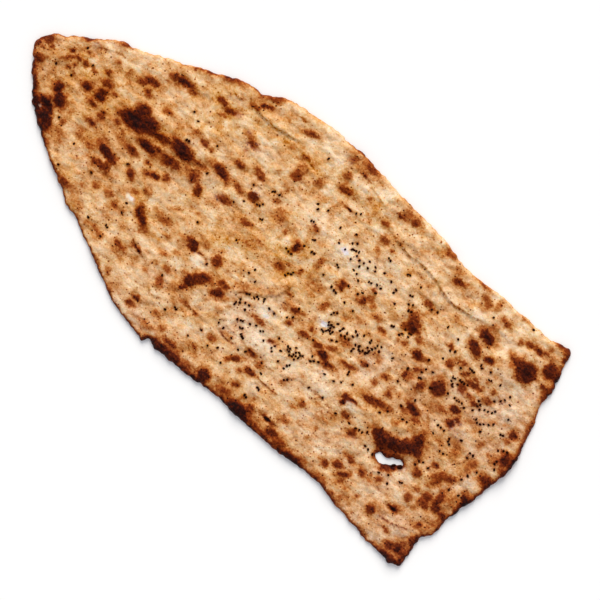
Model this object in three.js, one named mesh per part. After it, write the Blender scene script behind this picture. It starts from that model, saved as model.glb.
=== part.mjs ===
// A sangak flatbread: one long sheet of leavened wholewheat dough, pulled out by hand into a blunt-nosed
// tongue and baked on hot pebbles. It is a single baked piece, about half a metre long and 4 to 5 mm thick,
// with a browned, slightly curled rim, low arches where the crust has lifted, and one burst hole.
//
// Millimetres, +Z up. +X runs along the bread from its nose to the cut end, and the origin is under the
// middle of the bread, on the surface that it lies on.
import * as THREE from "three";

// Driving dimensions.
const THICKNESS = 4.6; // a usual sangak is 3 to 5 mm thick
const RIM_WIDTH = 6; // how far in from the edge the section stays rounded
const RIM_LEVEL = 0.35; // height of the rim's outermost line, as a share of the thickness
const EDGE_STEP = 4.5; // spacing of points along the edge
const BORDER = 9; // width of the finely divided band inside the edge
const FIELD_STEP = 13; // spacing of points in the middle of the sheet
const CLEARANCE = 0.62; // nearest that an inner point comes to an edge, as a share of EDGE_STEP

// The edge, anticlockwise from the tip of the nose: lower side, cut end, upper side.
const OUTLINE = [
  // nose, burnt on its lower side
  [-255.5, 3.6], [-253.8, -0.9], [-251.1, -6.4], [-247, -9.5], [-242.9, -16.4], [-237.5, -20.9],
  [-232, -26.8], [-227.5, -31.8], [-223.8, -36.2], [-220, -37.5], [-215.6, -40.9], [-209.3, -45],
  [-203.8, -47.3], [-198.4, -51.4], [-187.5, -57], [-176.5, -62.3], [-166.5, -66.8], [-160.2, -69.5],
  [-153.8, -73.2], [-150.2, -75.7], [-145.2, -77.7], [-137.5, -78.4], [-130, -82],
  // long lower side, as far as the torn notch
  [-120.8, -86.4], [-110.3, -89.8], [-97.2, -96.2], [-84.9, -101.3], [-74.4, -106.1], [-61.2, -109.6],
  [-48.9, -111.9], [-36.8, -113.9], [-31.6, -115.3], [-28.8, -113.9], [-27.6, -111], [-24.4, -110.4],
  [-20.2, -112.2],
  [-5.1, -112], [5.9, -110.9], [21.7, -110], [33.1, -107.6], [50.6, -106.8], [61.2, -107.8],
  [84, -107.2], [103.3, -106.3], [120.8, -105], [133.9, -103], [147.1, -102.2], [155.8, -102.6],
  [169.9, -105.5], [187.4, -106.8], [203.2, -109], [219, -109.8], [230.4, -109.8], [234.3, -111.2],
  [237.4, -108.9], [242.4, -107.2],
  // cut end, torn and bumpy
  [243.4, -103.3], [242.2, -92.7], [240.3, -82.2], [240.5, -77.8], [242.2, -74.6], [245.3, -71.7],
  [246.4, -64], [245.7, -55.9], [245.7, -50.6], [247.6, -48], [247.9, -38.4], [250.1, -33.1],
  [251.9, -20.8], [253.2, -7.6], [255.1, 1.5], [255.5, 11.2], [253.8, 21.8], [252, 27.2],
  [248.1, 36.7], [247, 42.8], [243.5, 53.3], [240.4, 58.8], [238.6, 64], [238.1, 74.4],
  [237.4, 82.2], [235, 85], [235.6, 87.4], [232.5, 95.4], [229.9, 103.5], [228.6, 109.5],
  [226.7, 112], [223.8, 113.2],
  // long upper side, back to the nose
  [220.2, 111.7], [216.4, 110.8], [209.3, 108.3], [198.8, 107.3], [183, 107.7], [169.9, 106.8],
  [158.4, 107.2], [148.8, 106.1], [137, 105], [125.2, 103.8], [111.2, 104.9], [105, 106.8],
  [98.9, 108.2], [85.7, 109.1], [66.4, 110.2], [47.1, 111], [33.1, 112.1], [21.7, 113.2],
  [9.4, 113.7], [0.5, 114.9], [-5.1, 115.3], [-10.5, 114.2], [-20.8, 113.4], [-27, 114.2],
  [-39.3, 112.3], [-57.7, 109.6], [-69.1, 107.9], [-78.7, 104.4], [-86.6, 98.9], [-92, 95.2],
  [-106.8, 93.4], [-117.3, 89.7], [-125.7, 85.4], [-135.7, 80.3], [-146.2, 75.5], [-156.7, 69.2],
  [-170.4, 63.4], [-184.1, 56.1], [-196.7, 51.3], [-202, 50.5], [-212.5, 43.9], [-223.4, 34.8],
  [-235.6, 26.6], [-240.2, 21.1], [-247, 18], [-253.2, 9.3],
];

// Where a bubble has burst right through: a crescent by the cut end.
const CRESCENT_HOLE = [
  [168, -53.6], [171, -56.2], [175.4, -56.7], [179.4, -55.3], [182.8, -52.6], [186.4, -49.2],
  [190.4, -46], [186.6, -44.4], [182.4, -46.2], [178, -49.2], [173.6, -50.4], [169.8, -50.9],
];

// Where the sheet is lifted off the surface: middle, reach along X and Y, and height at the middle.
// The rim curls up along the lower side of the nose and at the cut end; the arches are inside it.
const LIFTS = [
  { at: [-190, -72], reach: [46, 30], height: 7.5 }, // curl below the burnt nose
  { at: [-120, -102], reach: [52, 26], height: 7 },
  { at: [-40, -128], reach: [40, 26], height: 5 }, // torn notch
  { at: [-262, 4], reach: [26, 30], height: 4.5 }, // tip of the nose
  { at: [-60, 122], reach: [60, 26], height: 4 }, // curls along the upper side
  { at: [110, 118], reach: [70, 26], height: 3.2 },
  { at: [268, 8], reach: [30, 44], height: 8 }, // cut end
  { at: [266, -50], reach: [36, 46], height: 7 },
  { at: [258, -120], reach: [42, 32], height: 7.5 }, // its lower corner
  { at: [244, 122], reach: [34, 26], height: 6.5 }, // its upper corner
  { at: [90, -124], reach: [70, 28], height: 4.2 }, // long lower side
  { at: [176, -124], reach: [60, 30], height: 5 },
  { at: [-152, -92], reach: [44, 26], height: 4.5 },
  { at: [-118, 22], reach: [46, 34], height: 3.4 }, // arches in the field
  { at: [14, 36], reach: [44, 40], height: 3.8 },
  { at: [128, -34], reach: [50, 34], height: 4.2 },
  { at: [196, 62], reach: [34, 30], height: 3 },
  { at: [-22, -52], reach: [40, 24], height: 3.2 },
];
const LEVEL = 0.6; // a lift lower than this lies flat on the surface

// Slow changes in the dough's thickness, as shares of THICKNESS.
const THINNER = { at: [67, -6], reach: [24, 18], share: -0.3 }; // stretched almost through
const THICKER = [
  { at: [20, 98], reach: [150, 16], share: 0.28 }, // rolled upper border
  { at: [-236, 4], reach: [22, 24], share: 0.25 }, // nose, where the dough was gathered
  { at: [-150, 18], reach: [30, 18], share: 0.2 }, // big blisters
  { at: [208, 74], reach: [18, 14], share: 0.25 },
  { at: [176, -36], reach: [24, 14], share: 0.2 },
];

// A smooth hump: 1 in the middle, 0 from the reach outwards.
function hump({ at, reach }, x, y) {
  const across = Math.hypot((x - at[0]) / reach[0], (y - at[1]) / reach[1]);
  return across >= 1 ? 0 : Math.pow(1 - across * across, 2);
}

// Height of the underside above the surface, flat wherever the bread touches it.
function lift(x, y) {
  const raised = LIFTS.reduce((sum, l) => sum + l.height * hump(l, x, y), 0);
  return Math.max(0, raised - LEVEL);
}

function thickness(x, y) {
  const change = [THINNER, ...THICKER].reduce((sum, t) => sum + t.share * hump(t, x, y), 0);
  return THICKNESS * (1 + change);
}

// A smooth closed line through the given points, with further points no more than a step apart.
function smoothLoop(points, step) {
  const n = points.length;
  const at = (i) => new THREE.Vector2(...points[(i + n) % n]);
  const loop = [];
  for (let i = 0; i < n; i++) {
    const curve = new THREE.SplineCurve([at(i - 1), at(i), at(i + 1), at(i + 2)]);
    const pieces = Math.max(1, Math.round(at(i).distanceTo(at(i + 1)) / step));
    for (let k = 0; k < pieces; k++) loop.push(curve.getPoint((1 + k / pieces) / 3));
  }
  return loop;
}

function inside(loop, x, y) {
  let odd = false;
  loop.forEach((a, i) => {
    const b = loop[(i + 1) % loop.length];
    if (a.y > y !== b.y > y && x < ((b.x - a.x) * (y - a.y)) / (b.y - a.y) + a.x) odd = !odd;
  });
  return odd;
}

function distanceTo(loop, x, y) {
  let nearest = Infinity;
  loop.forEach((a, i) => {
    const b = loop[(i + 1) % loop.length];
    const [dx, dy] = [b.x - a.x, b.y - a.y];
    const along = THREE.MathUtils.clamp(((x - a.x) * dx + (y - a.y) * dy) / (dx * dx + dy * dy), 0, 1);
    nearest = Math.min(nearest, Math.hypot(x - a.x - along * dx, y - a.y - along * dy));
  });
  return nearest;
}

// Points inside the sheet on a staggered grid, a little out of line so that no four share a circle.
function gridPoints(edges, step, from, to) {
  const [outer, ...holes] = edges;
  const box = new THREE.Box2().setFromPoints(outer);
  const found = [];
  const rowStep = step * Math.sqrt(0.75);
  for (let row = 0; box.min.y + row * rowStep < box.max.y; row++) {
    for (let column = 0; box.min.x + column * step < box.max.x; column++) {
      const shift = row % 2 ? step / 2 : 0;
      const x = box.min.x + column * step + shift + 0.05 * step * Math.sin(12.9 * row + 78.2 * column);
      const y = box.min.y + row * rowStep + 0.05 * step * Math.sin(39.3 * row + 11.1 * column);
      if (!inside(outer, x, y) || holes.some((hole) => inside(hole, x, y))) continue;
      const depth = Math.min(...edges.map((edge) => distanceTo(edge, x, y)));
      if (depth >= from && depth < to) found.push(new THREE.Vector2(x, y));
    }
  }
  return found;
}

// Delaunay triangles of a set of points: each point in turn opens the circles that it falls in.
function delaunay(points) {
  const far = 1e4;
  const all = [...points, new THREE.Vector2(-far, -far), new THREE.Vector2(far, -far), new THREE.Vector2(0, far)];
  const n = points.length;
  const circleOf = (a, b, c) => {
    const [A, B, C] = [all[a], all[b], all[c]];
    const d = 2 * (A.x * (B.y - C.y) + B.x * (C.y - A.y) + C.x * (A.y - B.y));
    const [sa, sb, sc] = [A.lengthSq(), B.lengthSq(), C.lengthSq()];
    const x = (sa * (B.y - C.y) + sb * (C.y - A.y) + sc * (A.y - B.y)) / d;
    const y = (sa * (C.x - B.x) + sb * (A.x - C.x) + sc * (B.x - A.x)) / d;
    return { corners: [a, b, c], x, y, r2: (A.x - x) ** 2 + (A.y - y) ** 2 };
  };
  let triangles = [circleOf(n, n + 1, n + 2)];
  points.forEach((p, i) => {
    const border = new Map();
    const kept = [];
    for (const t of triangles) {
      if ((p.x - t.x) ** 2 + (p.y - t.y) ** 2 >= t.r2) {
        kept.push(t);
        continue;
      }
      t.corners.forEach((from, k) => {
        const to = t.corners[(k + 1) % 3];
        if (!border.delete(`${to},${from}`)) border.set(`${from},${to}`, [from, to]);
      });
    }
    triangles = kept;
    for (const [from, to] of border.values()) triangles.push(circleOf(from, to, i));
  });
  return triangles.map((t) => t.corners).filter((corners) => corners.every((c) => c < n));
}

// The sheet: one triangulation used twice, for the crust and for the underside, joined along the edges.
function breadGeometry() {
  const edges = [
    smoothLoop(OUTLINE, EDGE_STEP),
    smoothLoop(CRESCENT_HOLE, EDGE_STEP / 2),
  ];
  const rim = edges.flat();
  const nearest = CLEARANCE * EDGE_STEP;
  const field = [
    ...gridPoints(edges, EDGE_STEP, nearest, BORDER),
    ...gridPoints(edges, FIELD_STEP, BORDER + EDGE_STEP, Infinity),
  ];
  const plan = [...rim, ...field];
  const centre = (corners, axis) => corners.reduce((sum, c) => sum + plan[c][axis], 0) / 3;
  const faces = delaunay(plan).filter((corners) => {
    const [x, y] = [centre(corners, "x"), centre(corners, "y")];
    return inside(edges[0], x, y) && !edges.slice(1).some((hole) => inside(hole, x, y));
  });

  // Rim points are shared by both sides; every other point has one on the crust and one underneath.
  const crust = [];
  const underside = [];
  plan.forEach((p, i) => {
    const depth = i < rim.length ? 0 : Math.min(...edges.map((edge) => distanceTo(edge, p.x, p.y)));
    const roundness = Math.sqrt(1 - (1 - Math.min(depth / RIM_WIDTH, 1)) ** 2);
    const base = lift(p.x, p.y);
    const thick = thickness(p.x, p.y);
    underside.push(base + RIM_LEVEL * thick * (1 - roundness));
    crust.push(base + thick * (RIM_LEVEL + (1 - RIM_LEVEL) * roundness));
  });
  const box = new THREE.Box2().setFromPoints(edges[0]);
  const middle = box.getCenter(new THREE.Vector2());
  const positions = plan.flatMap((p, i) => [p.x - middle.x, p.y - middle.y, crust[i]]);
  plan.slice(rim.length).forEach((p, k) => {
    positions.push(p.x - middle.x, p.y - middle.y, underside[rim.length + k]);
  });
  const below = (i) => (i < rim.length ? i : i + field.length);
  const index = faces.flatMap(([a, b, c]) => [a, b, c, below(c), below(b), below(a)]);
  const geometry = new THREE.BufferGeometry();
  geometry.setAttribute("position", new THREE.Float32BufferAttribute(positions, 3));
  geometry.setIndex(index);
  geometry.computeVertexNormals();
  return geometry;
}

const crumb = new THREE.MeshStandardMaterial({ color: 0xd9b07c, roughness: 0.85, metalness: 0 });
const bread = new THREE.Mesh(breadGeometry(), crumb);
bread.name = "flatbread";

const group = new THREE.Group();
group.name = "sangak_flatbread";
group.add(bread);

export default group;
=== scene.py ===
import math

import bpy
import numpy as np
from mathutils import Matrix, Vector
from mathutils.bvhtree import BVHTree
from mathutils.geometry import delaunay_2d_cdt
from mathutils.kdtree import KDTree


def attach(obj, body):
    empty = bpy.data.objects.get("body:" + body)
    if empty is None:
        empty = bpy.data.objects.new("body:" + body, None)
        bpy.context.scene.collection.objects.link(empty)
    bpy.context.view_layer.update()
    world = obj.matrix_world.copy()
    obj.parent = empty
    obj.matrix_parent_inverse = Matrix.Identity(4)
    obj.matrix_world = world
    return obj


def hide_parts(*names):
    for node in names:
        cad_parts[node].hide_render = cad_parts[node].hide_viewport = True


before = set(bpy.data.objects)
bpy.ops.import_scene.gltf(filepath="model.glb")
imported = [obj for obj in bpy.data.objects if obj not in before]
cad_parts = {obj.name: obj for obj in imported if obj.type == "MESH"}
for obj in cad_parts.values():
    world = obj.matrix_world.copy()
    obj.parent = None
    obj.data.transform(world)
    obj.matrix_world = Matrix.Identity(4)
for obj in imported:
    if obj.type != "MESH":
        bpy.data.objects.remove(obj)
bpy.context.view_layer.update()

# ---------------------------------------------------------------------------------------------------
# The sheet of bread: wholewheat sourdough pulled out by hand to 4 or 5 mm and baked on hot pebbles.
# One baked piece: a blistered crust, a flatter underside with pebble dents, and a rolled ragged rim.
# Lengths are in millimetres and turns in degrees. +X runs from nose to cut end, and upper means +Y here.


def rim_lines(node):
    """The closed lines where the solid sheet's crust meets its underside, the longest first."""
    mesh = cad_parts[node].data
    place = {}
    # corners that agree to the micrometre are one corner
    number = [place.setdefault(tuple(round(c * 1e6) for c in v.co), len(place)) for v in mesh.vertices]
    upward = set()
    for face in mesh.polygons:
        if face.normal.z > 0:
            corners = [number[v] for v in face.vertices]
            upward.update(zip(corners, corners[1:] + corners[:1]))
    following = {a: b for a, b in upward if (b, a) not in upward}
    spots = np.array(list(place)) * 1e-3
    lines = []
    while following:
        start, at = following.popitem()
        line = [start]
        while at != start:
            line.append(at)
            at = following.pop(at)
        lines.append(spots[line, :2])
    return sorted(lines, key=len, reverse=True)


def smooth_closed(points, step):
    """A closed spline through the points, with a new point about every step."""
    before, here, after, last = points, np.roll(points, -1, 0), np.roll(points, -2, 0), np.roll(points, -3, 0)
    line = []
    for a, b, c, d in zip(before, here, after, last):
        t = np.arange(max(1, round(np.linalg.norm(c - b) / step)))[:, None]
        t = t / len(t)
        line.append(b + 0.5 * t * (c - a + t * (2 * a - 5 * b + 4 * c - d + t * (3 * (b - c) + d - a))))
    return np.concatenate(line)


def mottle(x, y, size, seed, stretch=1.0):
    """Smooth unevenness, mostly between -1 and 1, in patches about half of size across.

    Each use has a seed of its own, and stretch draws the patches out along X.
    """
    rng = np.random.default_rng(seed)
    waves = 28
    total = np.zeros_like(x)
    for _ in range(waves):
        turn, start = rng.uniform(0, 2 * math.pi, 2)
        length = size * rng.uniform(0.65, 1.6)
        total += np.sin(2 * math.pi * (x / stretch * math.cos(turn) + y * math.sin(turn)) / length + start)
    return total / math.sqrt(waves / 2) * 0.6


def ragged(line):
    """A rim line with the small tears and crumbs of a baked edge, up to about 0.7 mm in or out."""
    run = np.roll(line, -1, 0) - np.roll(line, 1, 0)
    out = np.stack([run[:, 1], -run[:, 0]], 1) / np.linalg.norm(run, axis=1)[:, None]
    x, y = line.T
    shift = 0.38 * mottle(x, y, 9, 11) + 0.3 * mottle(x, y, 4.2, 12)
    return line + out * shift[:, None]


def finder(points):
    """A tree that finds the nearest of the points, seen from above."""
    tree = KDTree(len(points))
    for i, spot in enumerate(points):
        tree.insert((*spot, 0), i)
    tree.balance()
    return tree


RIM_STEP = 1.15  # spacing of points along the rim
rims = [ragged(smooth_closed(line, RIM_STEP)) for line in rim_lines("flatbread")]
rim = np.concatenate(rims)
on_rim = len(rim)  # every set of points on the sheet starts with this many on the rim
rim_next = np.concatenate([np.roll(line, -1, 0) for line in rims])
rim_before = np.concatenate([np.roll(line, 1, 0) for line in rims])
rim_tree = finder(rim)


def depth_inside(x, y):
    """Distance in from the nearest edge, the rim of the hole included."""
    near = np.array([rim_tree.find((*spot, 0))[1] for spot in zip(x, y)])
    spots = np.stack([x, y], 1)
    shortest = np.full(len(x), np.inf)
    for other in (rim_before, rim_next):
        start = rim[near]
        run = other[near] - start
        share = np.clip(((spots - start) * run).sum(1) / (run * run).sum(1), 0, 1)
        shortest = np.minimum(shortest, np.linalg.norm(spots - start - share[:, None] * run, axis=1))
    return shortest


def rows_inside(step, seed):
    """Staggered rows of points over the whole sheet, each a little out of line."""
    rng = np.random.default_rng(seed)
    astray = 0.13  # of a step
    low, high = rim.min(0), rim.max(0)
    found = []
    for row, level in enumerate(np.arange(low[1], high[1], step * math.sqrt(0.75))):
        cuts = (rim[:, 1] > level) != (rim_next[:, 1] > level)
        share = (level - rim[cuts, 1]) / (rim_next[cuts, 1] - rim[cuts, 1])
        walls = np.sort(rim[cuts, 0] + share * (rim_next[cuts, 0] - rim[cuts, 0]))
        places = np.arange(low[0] + (row % 2) * step / 2, high[0], step)
        places = places[np.searchsorted(walls, places) % 2 == 1]
        found.append(np.stack([places, np.full(len(places), level)], 1))
    found = np.concatenate(found)
    return found + rng.uniform(-astray, astray, found.shape) * step


# Cracks, folds and slits in the crust, as lines that a knife could follow: (width, depth, darkness of the
# shade painted along it, points).
CRACKS = [
    (0.9, 0.9, 0.75, [(-112, 80.5), (-106, 79.3), (-101, 81.5)]),
    (0.9, 2.2, 0.6, [(-90, 82.5), (-83, 81.4), (-76, 82), (-68, 81.6), (-60, 84), (-52, 85.5), (-46, 87.3)]),
    (0.8, 0.7, 0.55, [(-41, 82), (-33, 81.5), (-26, 79.5), (-20, 79)]),
    (0.9, 2.2, 0.6, [(59, 83.6), (66, 82.6), (73, 81.2), (80, 80), (86, 81.4), (96, 82), (104, 81),
                     (112, 79.5)]),
    (0.9, 2.4, 0.65, [(112, 79.5), (118, 77.4), (126, 76), (134, 75.6), (142, 77.6), (150, 79), (159, 81.2)]),
    (0.8, 0.6, 0.6, [(-219, 31), (-212, 34.5), (-204, 38.4)]),
    (0.6, 0.4, 0.5, [(-165, 50), (-157, 50.8), (-150, 50)]),
    (0.8, 0.8, 0.75, [(19, 99.2), (27, 98.4), (34, 97), (41, 95.2)]),
    (1.0, 1.0, 0.7, [(4, 101.5), (11, 102.6), (20, 102)]),
    (1.1, 1.5, 0.35, [(27.5, 1), (27.6, -5), (26.4, -11), (24, -16), (19.5, -20.5), (14, -24.5), (8, -28),
                      (2.5, -32)]),
    (1.0, 1.3, 0.45, [(2.5, -32), (-0.5, -35), (-3, -38)]),
    (0.8, 0.8, 0.6, [(-93, -59.6), (-88, -61.6), (-85.5, -62.8)]),
    (1.6, 1.8, 0.95, [(-85.5, -63.2), (-82.5, -63.8), (-79.5, -64.2)]),
    (0.8, 0.7, 0.5, [(-79, -64.8), (-74, -66.4), (-69, -67.4)]),
    (0.8, 0.8, 0.65, [(-57, -79), (-53.5, -81.8), (-49, -83), (-44, -81), (-40, -79.4)]),
    (1.1, 1.0, 0.8, [(9, -66), (13, -67.6), (18, -68.2), (23, -67.6), (27, -66.8)]),
    (0.8, 0.7, 0.6, [(76, -60), (77.4, -56.4), (80.5, -54), (86, -52.6), (92.5, -51.8)]),
    (0.8, 0.7, 0.6, [(92.5, -51.8), (99, -50.8), (106, -50.4), (112, -51.6), (118, -52.4)]),
    (0.8, 0.7, 0.5, [(54, -62.4), (60, -62), (67, -60.4), (73, -59)]),
    (0.9, 0.9, 0.75, [(55, -73.2), (63, -74), (71, -73.8), (77, -73.2), (81, -72.6)]),
    (1.8, 1.6, 1.0, [(81.5, -92), (85.5, -92.6), (90, -92)]),
    (1.2, 1.0, 0.7, [(16.5, 74.2), (20, 74.6), (23.4, 74.6)]),
    (0.7, 0.6, 0.8, [(26, -26.8), (32, -26.6), (38.5, -26.8)]),
    (0.6, 0.5, 0.6, [(104, -78.8), (110, -78.4), (116, -78.8)]),
    (0.8, 0.7, 0.7, [(122, -81.6), (128, -82.2), (134, -81.4), (138, -80.8)]),
    (0.7, 0.6, 0.7, [(30, -95), (34, -94.6), (37, -94.8)]),
    (0.7, 0.6, 0.7, [(-7, -92.4), (-3, -92.8), (0, -92.6)]),
    (0.7, 0.6, 0.7, [(129, 45.6), (133, 43.4), (137.5, 40.6)]),
    (0.8, 0.5, 0.4, [(140.5, 57.4), (145, 53), (149.5, 46.6)]),
    (1.0, 1.0, 0.65, [(204, -88.4), (210, -87), (216, -85.6), (222, -83), (228.5, -80.6)]),
    (0.8, 0.6, 0.7, [(-49.6, 36), (-46.5, 38.6), (-41.5, 38.8), (-37, 37)]),
    (1.0, 1.1, 1.0, [(-47.4, -34.2), (-44, -32.4), (-40, -31.8), (-36.6, -33), (-33.8, -35.6)]),
    (2.6, 1.2, 0.5, [(204.6, -76.8), (207.5, -76.2), (210.4, -75.8)]),
    (0.7, 0.5, 0.55, [(-63, 40.4), (-58, 42.4), (-53, 44.8)]),
    (0.8, 0.7, 0.6, [(-62, 101.4), (-57, 102.4), (-51, 101.8)]),
    (0.7, 0.5, 0.6, [(-75, 92), (-71, 92.6)]),
    (0.7, 0.6, 0.6, [(-130, 62.2), (-127, 63), (-124.5, 63.8)]),
    (0.7, 0.6, 0.6, [(-114, 26.6), (-110, 27)]),
    (0.7, 0.5, 0.45, [(0, -59), (14, -60.4), (28, -60.8), (45, -62)]),
    (0.7, 0.6, 0.5, [(-28, -68), (-18, -69.4), (-8, -70)]),
    (0.8, 0.7, 0.5, [(-204, 38.4), (-198, 41), (-190, 42)]),
]


def along(points, step):
    """Points about a step apart along an open line."""
    points = np.array(points, float)
    spots = [a + (b - a) * t for a, b in zip(points, points[1:])
             for t in np.linspace(0, 1, max(2, math.ceil(np.linalg.norm(b - a) / step)), endpoint=False)]
    return np.array(spots + [points[-1]])


def sheet_points(step, seed, extra=None):
    """The rim's points, then inner ones that keep clear of it and of any extra ones, then the extra ones."""
    # at less than half a step the triangles would turn into slivers
    inner = rows_inside(step, seed)
    inner = inner[depth_inside(*inner.T) > 0.5 * step]
    if extra is None:
        return np.concatenate([rim, inner])
    extra = extra[depth_inside(*extra.T) > 0.9]
    extra_tree = finder(extra)
    clear = np.array([extra_tree.find((*spot, 0))[2] for spot in inner]) > 0.55 * step
    return np.concatenate([rim, inner[clear], extra])


def triangles(points):
    """Triangles over the points, bounded by the rims."""
    edges = []
    first = 0
    for line in rims:
        numbers = list(range(first, first + len(line)))
        edges += list(zip(numbers, numbers[1:] + numbers[:1]))
        first += len(line)
    spots, _, faces, *_ = delaunay_2d_cdt([Vector(p) for p in points], edges, [], 2, 1e-6)
    assert len(spots) == len(points)
    faces = np.array(faces)
    in_hole = (faces >= len(rims[0])) & (faces < on_rim)
    return faces[~in_hole.all(1)]


CRUST_STEP = 1.3  # spacing of points on the crust, fine enough for a blister
CRACK_STEP = 0.8  # and along a crack
UNDERSIDE_STEP = 2.7
MERGED = 0.5  # crack points in one square of this size count as one

crack_points = np.concatenate([along(points, CRACK_STEP) for *_, points in CRACKS])
crack_points = crack_points[np.unique(np.round(crack_points / MERGED), axis=0, return_index=True)[1]]
crust_plan = sheet_points(CRUST_STEP, 21, crack_points)
under_plan = sheet_points(UNDERSIDE_STEP, 22)
crust_faces = triangles(crust_plan)
under_faces = triangles(under_plan)

# The solid's own underside and thickness, read every few millimetres away from its rim. Cells near and
# past the rim then take the mean of the known cells round them, ring after ring.
MM = 0.001
UP = Vector((0, 0, 1))
DOWN = Vector((0, 0, -1))
CLEAR_OF_BREAD = 60  # rays at the bread start this far above or below the table top
CELL = 6.0
MARGIN = 5 * CELL
FROM_RIM = 6  # readings are taken from here inwards

solid = BVHTree.FromPolygons([v.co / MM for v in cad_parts["flatbread"].data.vertices],
                             [p.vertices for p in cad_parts["flatbread"].data.polygons])
grid_x = np.arange(rim[:, 0].min() - MARGIN, rim[:, 0].max() + MARGIN, CELL)
grid_y = np.arange(rim[:, 1].min() - MARGIN, rim[:, 1].max() + MARGIN, CELL)
flat_x, flat_y = (g.ravel() for g in np.meshgrid(grid_x, grid_y))
deep = depth_inside(flat_x, flat_y)
solid_heights = []
for x, y, depth in zip(flat_x, flat_y, deep):
    top = solid.ray_cast(Vector((x, y, CLEAR_OF_BREAD)), DOWN)[0]
    bottom = solid.ray_cast(Vector((x, y, -CLEAR_OF_BREAD)), UP)[0]
    known = top and bottom and depth > FROM_RIM
    solid_heights.append((bottom.z, top.z - bottom.z) if known else (np.nan, np.nan))
solid_heights = np.array(solid_heights).reshape(len(grid_y), len(grid_x), 2)
while np.isnan(solid_heights).any():
    around = np.stack([np.roll(solid_heights, (i, j), (0, 1)) for i in (-1, 0, 1) for j in (-1, 0, 1)])
    known = ~np.isnan(around)
    mean = np.where(known, around, 0).sum(0) / np.maximum(known.sum(0), 1)
    mean[~known.any(0)] = np.nan
    solid_heights = np.where(np.isnan(solid_heights), mean, solid_heights)


def step_up(value, low, high):
    """0 below low, 1 above high, and a soft step between them."""
    share = np.clip((value - low) / (high - low), 0, 1)
    return share * share * (3 - 2 * share)


def across(x, y, patch):
    """Distance from an oval patch's middle, as a share of its size, so that its edge is at 1.

    A patch starts (x, y, half length, half width, turn).
    """
    turn = math.radians(patch[4])
    lengthwise = (x - patch[0]) * math.cos(turn) + (y - patch[1]) * math.sin(turn)
    aside = (y - patch[1]) * math.cos(turn) - (x - patch[0]) * math.sin(turn)
    return np.hypot(lengthwise / patch[2], aside / patch[3])


HOLE_SURROUND = (179, -50, 14, 9, 20)  # the dough round the burst hole, stretched thin before it tore
HOLE_THINNING = 0.45  # the share of its thickness that it lost


def from_solid(x, y):
    """Height of the underside and thickness of the sheet, by a smooth spline between the readings."""
    u, v = (x - grid_x[0]) / CELL, (y - grid_y[0]) / CELL
    i, j = np.floor(u).astype(int), np.floor(v).astype(int)
    shares = []
    for f in (u - i, v - j):
        shares.append([(1 - f) ** 3 / 6, (3 * f ** 3 - 6 * f ** 2 + 4) / 6,
                       (3 * f + 3 * f ** 2 - 3 * f ** 3 + 1) / 6, f ** 3 / 6])
    total = 0
    for a, wide in enumerate(shares[0]):
        for b, tall in enumerate(shares[1]):
            total = total + (wide * tall)[:, None] * solid_heights[j + b - 1, i + a - 1]
    under, thick = total.T
    thick = thick * (1 - HOLE_THINNING * (1 - step_up(across(x, y, HOLE_SURROUND), 0.8, 1.6)))
    return under, thick


RIM_ROUND = 4.2  # how far in from the edge the section stays rounded
RIM_LEVEL = 0.36  # height of the outermost line, as a share of the thickness


def rolled_section(x, y):
    """The underside's height, the thickness, the depth in from the edge, and the rise of the rounded rim."""
    under, thick = from_solid(x, y)
    depth = depth_inside(x, y)
    depth[:on_rim] = 0
    shoulder = np.sqrt(1 - (1 - np.minimum(depth / RIM_ROUND, 1)) ** 2)
    return under, thick, depth, shoulder


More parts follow.
